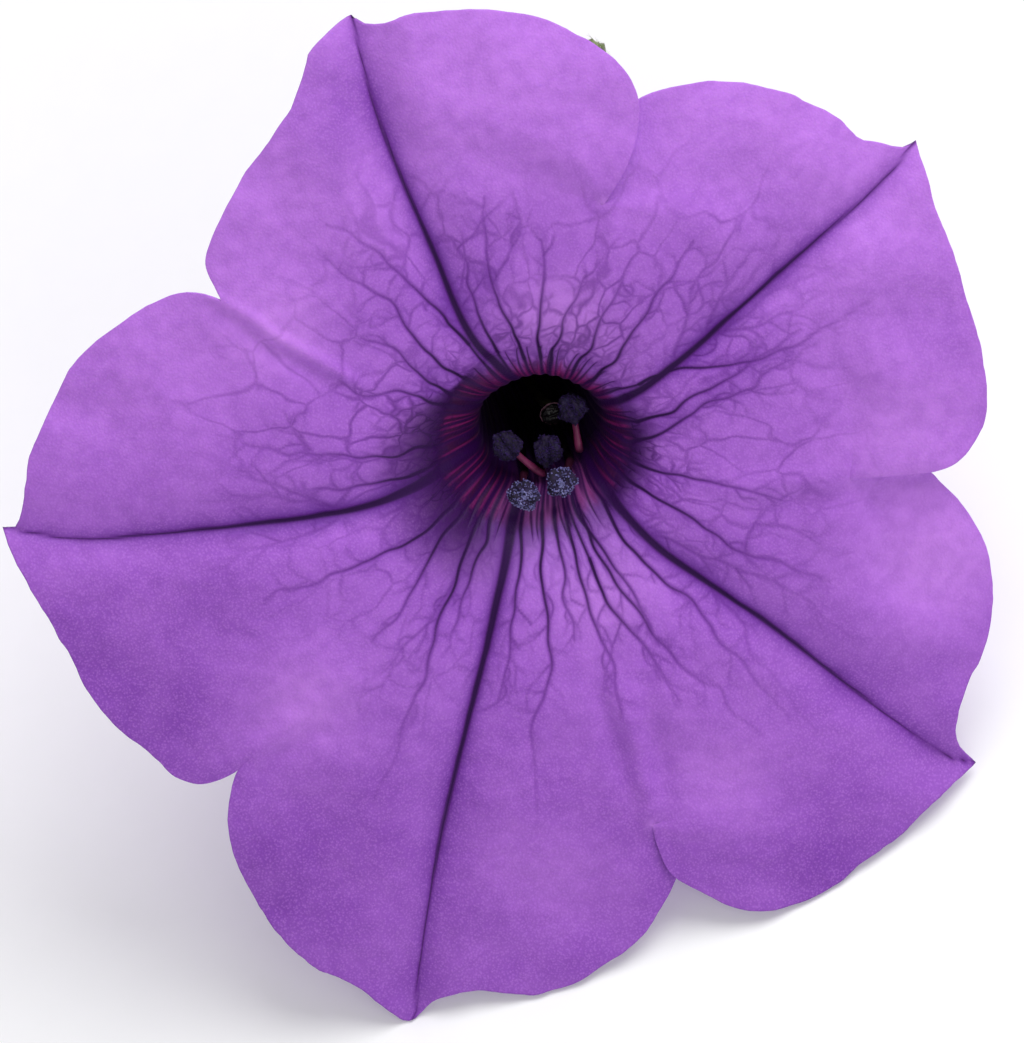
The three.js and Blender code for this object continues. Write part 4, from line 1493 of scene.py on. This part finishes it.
def buildStalk():
    def ridges(share, angle):
        crown = stalk["crown"] * bell(share, 0.12) * np.cos(5 * angle)
        return 0.03 * np.cos(stalk["ridges"] * angle + 3 * share) + crown

    line = [footed(*p) for p, _ in stalk["line"]]
    points, faces, share, angle = roundAlong(line, [r for _, r in stalk["line"]], 40, 150, ridges)
    quads = np.array([face for face in faces if len(face) == 4])
    normals = normalsOf(points, np.vstack([quads[:, :3], quads[:, [0, 2, 3]]]))
    rng = np.random.default_rng(81)
    picks = rng.choice(np.flatnonzero((share > 0.08) & (share < 0.985)), stalk["hairs"])
    ways = normals[picks] + 0.2 * rng.normal(size=(len(picks), 3))
    lengths = rng.uniform(*stalk["hairLength"], len(picks))
    free = clearOfFloor(points[picks], ways, lengths)
    fringe = strands(points[picks][free], ways[free], lengths[free], stalk["hairWidth"], 82)
    thing = builtPiece("stalk_stem", [(points, faces), fringe], [stalkGreen, hairs], "pedicel")
    cut = ease((share - 0.992) / 0.006) * 0.9
    pale = np.maximum(cut, 0.5 * ease((0.12 - share) / 0.12))
    pale = np.clip(pale + 0.25 * np.cos(stalk["ridges"] * angle + 3 * share), 0, 1)
    for name, values in (("vein", pale), ("edge", ease((share - 0.2) / 0.2) * 0.35 * (1 - cut))):
        addNumbers(thing, name, np.concatenate([values, np.zeros(len(fringe[0]))]))


buildStalk()
print("stalk built")

# Each stamen: its anther's place in the picture, its depth, its turn, where the filament leaves the tube wall
# as an angle and a depth, and how much of its free end is left out of the painted shade.
stamens = [
    ((507, 446), -1.6, 20, (-105, 3), 0.85),
    ((548, 450), -2.4, -10, (-88, 6), 0.2),
    ((524, 495), 0.5, 35, (-124, 2.6), 0.2),
    ((561, 482), 0.1, -30, (-71, 3), 0.2),
    ((573, 408), -3.0, 15, (-53, 3.4), 0.7),
]
antherPlan = {
    "size": (1.9, 2.15, 1.45),
    "cleft": 0.4,
    "grains": 480,
    # the lit anthers; the others, in the tube's shade, take a darker copy of the pollen: painted light and
    # shade
    "litAnthers": (3, 4),
    "grainSize": (0.03, 0.085),
    "body": tint(34, 20, 56),
    "bodyDark": tint(16, 8, 28),
    "litPollen": tint(112, 110, 166),
    "pollenDark": tint(66, 58, 108),
    "pollenPale": tint(158, 156, 204),
    "shadedPollen": tint(44, 22, 82),
    "shadedPollenDark": tint(20, 8, 40),
    "shadedPollenPale": tint(70, 44, 116),
}
filamentPlan = {
    "radius": 0.27,
    "seat": 0.83,  # from the tube wall to the strand's middle
    "pink": tint(132, 44, 92),
    "dark": tint(76, 18, 52),
    "pale": tint(164, 82, 124),
}
pistil = {
    "stigmaAt": (553, 413),
    "stigmaDepth": -6.4,
    "stigmaHalf": (0.92, 0.78, 0.52),
    "green": tint(96, 94, 40),
    "deepGreen": tint(30, 32, 20),
    "paleGreen": tint(132, 130, 70),
    "rim": tint(206, 150, 176),
    "wet": tint(30, 34, 22),
    "ovary": tint(146, 164, 88),
    "ovaryPale": tint(196, 206, 140),
    "nectary": tint(188, 164, 74),
    "nectaryDark": tint(140, 112, 44),
    "nectaryPale": tint(222, 204, 130),
}


def fleshMaterial(name, main, dark, pale, roughness, scale):
    # soft wet tissue: three tones mottled together, pale where "vein" is marked, with painted shade where
    # "shade" is marked, deep in the tube
    material, tree, shader = newMaterial(name)
    place = here(tree)
    grain = useGroup(tree, skinGrain, {"Place": place, "Cell Size": 0.0001})
    base = layered(tree, main, [
        (spanned(tree, noise(tree, place, scale, 4.0), 0.35, 0.68), dark),
        (spanned(tree, grain["Mottle"], 0.5, 0.75, (0, 0.5)), pale),
        (readNumber(tree, "vein"), pale),
        # painted shade
        (readNumber(tree, "shade"), tint(12, 6, 12)),
    ])
    finishSkin(tree, shader, base, grain["Height"], (0.4, 0.00004), {
        "Roughness": roughness,
        "Specular IOR Level": 0.3,
        "Subsurface Weight": 0.1,
        "Subsurface Radius": (0.8, 0.4, 0.5),
        "Subsurface Scale": 0.0003,
    })
    return material


def fleshFrom(name, look, tones, roughness, scale):
    # one tissue from its plan's main, dark and pale tones
    return fleshMaterial(name, *(look[tone] for tone in tones), roughness, scale)


antherBody = fleshFrom("antherBody", antherPlan, ("body", "bodyDark", "pollenDark"), 0.7, 2600)
shadedPollen = fleshFrom("shadedPollen", antherPlan, ("shadedPollen", "shadedPollenDark", "shadedPollenPale"), 0.8, 3800)
litPollen = fleshFrom("litPollen", antherPlan, ("litPollen", "pollenDark", "pollenPale"), 0.6, 3800)
filamentPink = fleshFrom("filamentPink", filamentPlan, ("pink", "dark", "pale"), 0.35, 900)
styleGreen = fleshFrom("styleGreen", pistil, ("green", "deepGreen", "paleGreen"), 0.35, 600)
stigmaWet = fleshFrom("stigmaWet", pistil, ("deepGreen", "wet", "rim"), 0.15, 1500)
ovaryGreen = fleshFrom("ovaryGreen", pistil, ("ovary", "green", "ovaryPale"), 0.4, 600)
nectaryGold = fleshFrom("nectaryGold", pistil, ("nectary", "nectaryDark", "nectaryPale"), 0.3, 600)


def facePoint(spot, depth):
    x, y = onLimb([spot], depth)[0]
    return np.array([x, y, depth])


def tubePoint(angle, depth, inward):
    reach = softTable(corolla["tube"], depth) - inward
    centre = tubeCentre(depth)
    return np.array([reach * math.cos(angle) + centre[0], reach * math.sin(angle) + centre[1], -depth])


def buildAnther(number, place, turn):
    plan = antherPlan
    ways, faces = ballShape(44, 64)
    cleft = bell(ways[:, 0], 0.2)
    mouth = bell(np.abs(ways[:, 0]) - 0.55, 0.13) * np.clip(ways[:, 2], 0, 1)
    reach = 1 - plan["cleft"] * cleft * np.clip(ways[:, 2] + 0.4, 0, 1) - 0.13 * mouth
    reach = reach * (1 + 0.12 * waves(ways, 0.8, 100 + number) + 0.045 * waves(ways, 0.24, 110 + number))
    body = ways * (np.array(plan["size"]) / 2) * reach[:, None]
    rng = np.random.default_rng(120 + number)
    picks = rng.integers(0, len(body), plan["grains"])
    ballWays, ballFaces = ballShape(5, 7)
    sizes = rng.uniform(*plan["grainSize"], len(picks))
    centres = body[picks] * 1.02 + rng.normal(size=(len(picks), 3)) * 0.015
    grains = (centres[:, None] + ballWays[None] * sizes[:, None, None]).reshape(-1, 3)
    grainFaces = [tuple(i + k * len(ballWays) for i in face) for k in range(len(picks)) for face in ballFaces]
    spin = turnZ(math.radians(turn))
    shapes = [(body @ spin.T + place, faces), (grains @ spin.T + place, grainFaces)]
    # painted shade: anthers in the tube's shade take the darker copy of the pollen
    dust = litPollen if number in plan["litAnthers"] else shadedPollen
    builtPiece(f"anther_head_{number}", shapes, [antherBody, dust], f"anther_{number}")


def buildFilament(number, place, root, litShare):
    angle, rootDepth = math.radians(root[0]), root[1]
    seat = filamentPlan["seat"]
    line = [tubePoint(angle, depth, seat) for depth in (13, 9, rootDepth + 1)]
    leave = tubePoint(angle, rootDepth, seat + 0.3)
    head = place - np.array([0, 0, antherPlan["size"][2] / 2 + 0.22])
    bend = leave + 0.55 * (head - leave) - np.array([0, 0.25, 0])
    line += [leave, bend, head]
    radii = [filamentPlan["radius"] * share for share in (1.15, 1.1, 1.05, 1.0, 0.85, 0.6)]

    def uneven(share, turn):
        return 0.015 * np.sin(3 * turn + 17 * share + number) + 0.01 * math.sin(50 * share)

    points, faces, share, _ = roundAlong(line, radii, 18, 90, uneven)
    thing = builtPiece(f"filament_strand_{number}", [(points, faces)], [filamentPink],
                       f"filament_{number}")
    steps = np.linalg.norm(np.diff(line, axis=0), axis=1)
    parting = steps[:3].sum() / steps.sum()
    addNumbers(thing, "vein", 0.3 * ease((share - 0.75) / 0.25))
    # painted shade on the filament where it runs down the tube wall, out of the light
    addNumbers(thing, "shade", 1 - litShare * ease((share - parting + 0.06) / 0.08))


for number, (spot, depth, turn, root, litShare) in enumerate(stamens, 1):
    place = facePoint(spot, depth)
    buildAnther(number, place, turn)
    buildFilament(number, place, root, litShare)
print("stamens built")


def buildPistil():
    def lobed(depth):
        return lambda share, angle: depth * np.cos(2 * angle) * math.sin(math.pi * share)

    disc = [footed(0, 0, w) for w in (-31.0, -30.85, -30.4, -30.2)]
    points, faces, _, _ = roundAlong(disc, [1.5, 1.75, 1.7, 1.3], 48, 14, lobed(0.12))
    builtPiece("nectary_ring", [(points, faces)], [nectaryGold], "nectary_disc")
    case = [footed(0, 0, w) for w in (-29.9, -29.3, -28.2, -26.8, -25.9)]
    points, faces, _, angle = roundAlong(case, [1.0, 1.45, 1.5, 0.95, 0.4], 48, 40, lobed(0.06))
    thing = builtPiece("seed_case", [(points, faces)], [ovaryGreen], "ovary")
    addNumbers(thing, "vein", 0.6 * bell(np.sin(angle), 0.12))
    tip = facePoint(pistil["stigmaAt"], pistil["stigmaDepth"])
    line = [footed(0, 0, -25.6), footed(0.1, -0.3, -19), np.array([1.0, -0.9, -12]), tip - (0, 0, 0.9)]
    points, faces, share, _ = roundAlong(line, [0.36, 0.34, 0.34, 0.42], 20, 90)
    thing = builtPiece("style_stem", [(points, faces)], [styleGreen], "style")
    addNumbers(thing, "vein", 0.4 * ease((share - 0.8) / 0.2))
    # painted shade on the style deep in the tube
    addNumbers(thing, "shade", 0.9 * (1 - ease((points[:, 2] + 9) / 3)))
    ways, faces = ballShape(40, 60)
    groove = bell(ways[:, 1], 0.16) * np.clip(ways[:, 2], 0, 1)
    reach = 1 - 0.28 * groove + 0.03 * waves(ways, 0.3, 130)
    knob = ways * np.array(pistil["stigmaHalf"]) * reach[:, None] + tip
    thing = builtPiece("stigma_knob", [(knob, faces)], [stigmaWet], "stigma")
    addNumbers(thing, "vein", 0.8 * ease(1 - np.abs(ways[:, 2] - 0.12) / 0.2))
    addNumbers(thing, "shade", 0.96 * ease((ways[:, 2] - 0.22) / 0.25))


buildPistil()
print("pistil built")


# Short hairs outside the tube.
tubeHairs = {"count": 900, "depth": (3, 27.5), "length": (0.3, 0.7), "width": 0.02}


def buildTubeHairs():
    rng = np.random.default_rng(140)
    count = tubeHairs["count"]
    angle = rng.uniform(0, 2 * math.pi, count)
    depth = rng.uniform(*tubeHairs["depth"], count)
    outward = np.column_stack([around(angle), np.zeros(count)])
    reach = softTable(corolla["tube"], depth) + 0.1
    bases = outward * reach[:, None] + np.column_stack([tubeCentre(depth), -depth])
    ways = outward + 0.25 * rng.normal(size=(count, 3))
    lengths = rng.uniform(*tubeHairs["length"], count)
    builtPiece("tube_hairs", [strands(bases, ways, lengths, tubeHairs["width"], 141)], [hairs], None)


buildTubeHairs()


studio = {
    "floor": tint(248, 248, 250),
    "floorSpeck": tint(236, 236, 240),
    "floorHalf": 3.0,
    "aim": (0, 0, 0.03),
    "world": 0.5,
    "key": {"from": (0.38, 0.22, 0.7), "size": 0.7, "watts": 5.6},
    "front": {"from": (0.15, -0.6, 0.5), "size": 0.6, "watts": 1.0},
}


def buildStudio():
    half = studio["floorHalf"]
    floor = newObject("floor", [(-half, -half, 0), (half, -half, 0), (half, half, 0), (-half, half, 0)],
                      [(0, 1, 2, 3)], [], smooth=False)
    material, tree, shader = newMaterial("paperFloor")
    speck = spanned(tree, noise(tree, here(tree), 400, 3.0), 0.3, 0.7, (0, 0.06))
    tree.links.new(mixed(tree, speck, studio["floor"], studio["floorSpeck"]), shader.inputs["Base Color"])
    shader.inputs["Roughness"].default_value = 0.9
    floor.data.materials.append(material)
    world = bpy.data.worlds.new("soft")
    world.use_nodes = True
    sky = world.node_tree.nodes["Background"].inputs
    sky["Color"].default_value = (1, 1, 1, 1)
    sky["Strength"].default_value = studio["world"]
    scene.world = world
    for name in ("key", "front"):
        lamp = studio[name]
        data = bpy.data.lights.new(name, "AREA")
        data.shape, data.size, data.energy = "DISK", lamp["size"], lamp["watts"]
        light = bpy.data.objects.new(name, data)
        light.location = Vector(lamp["from"]) + Vector(studio["aim"])
        light.rotation_euler = Vector(lamp["from"]).to_track_quat("Z", "Y").to_euler()
        scene.collection.objects.link(light)
    scene.view_settings.view_transform = "Standard"


buildStudio()
print("floor and light set")
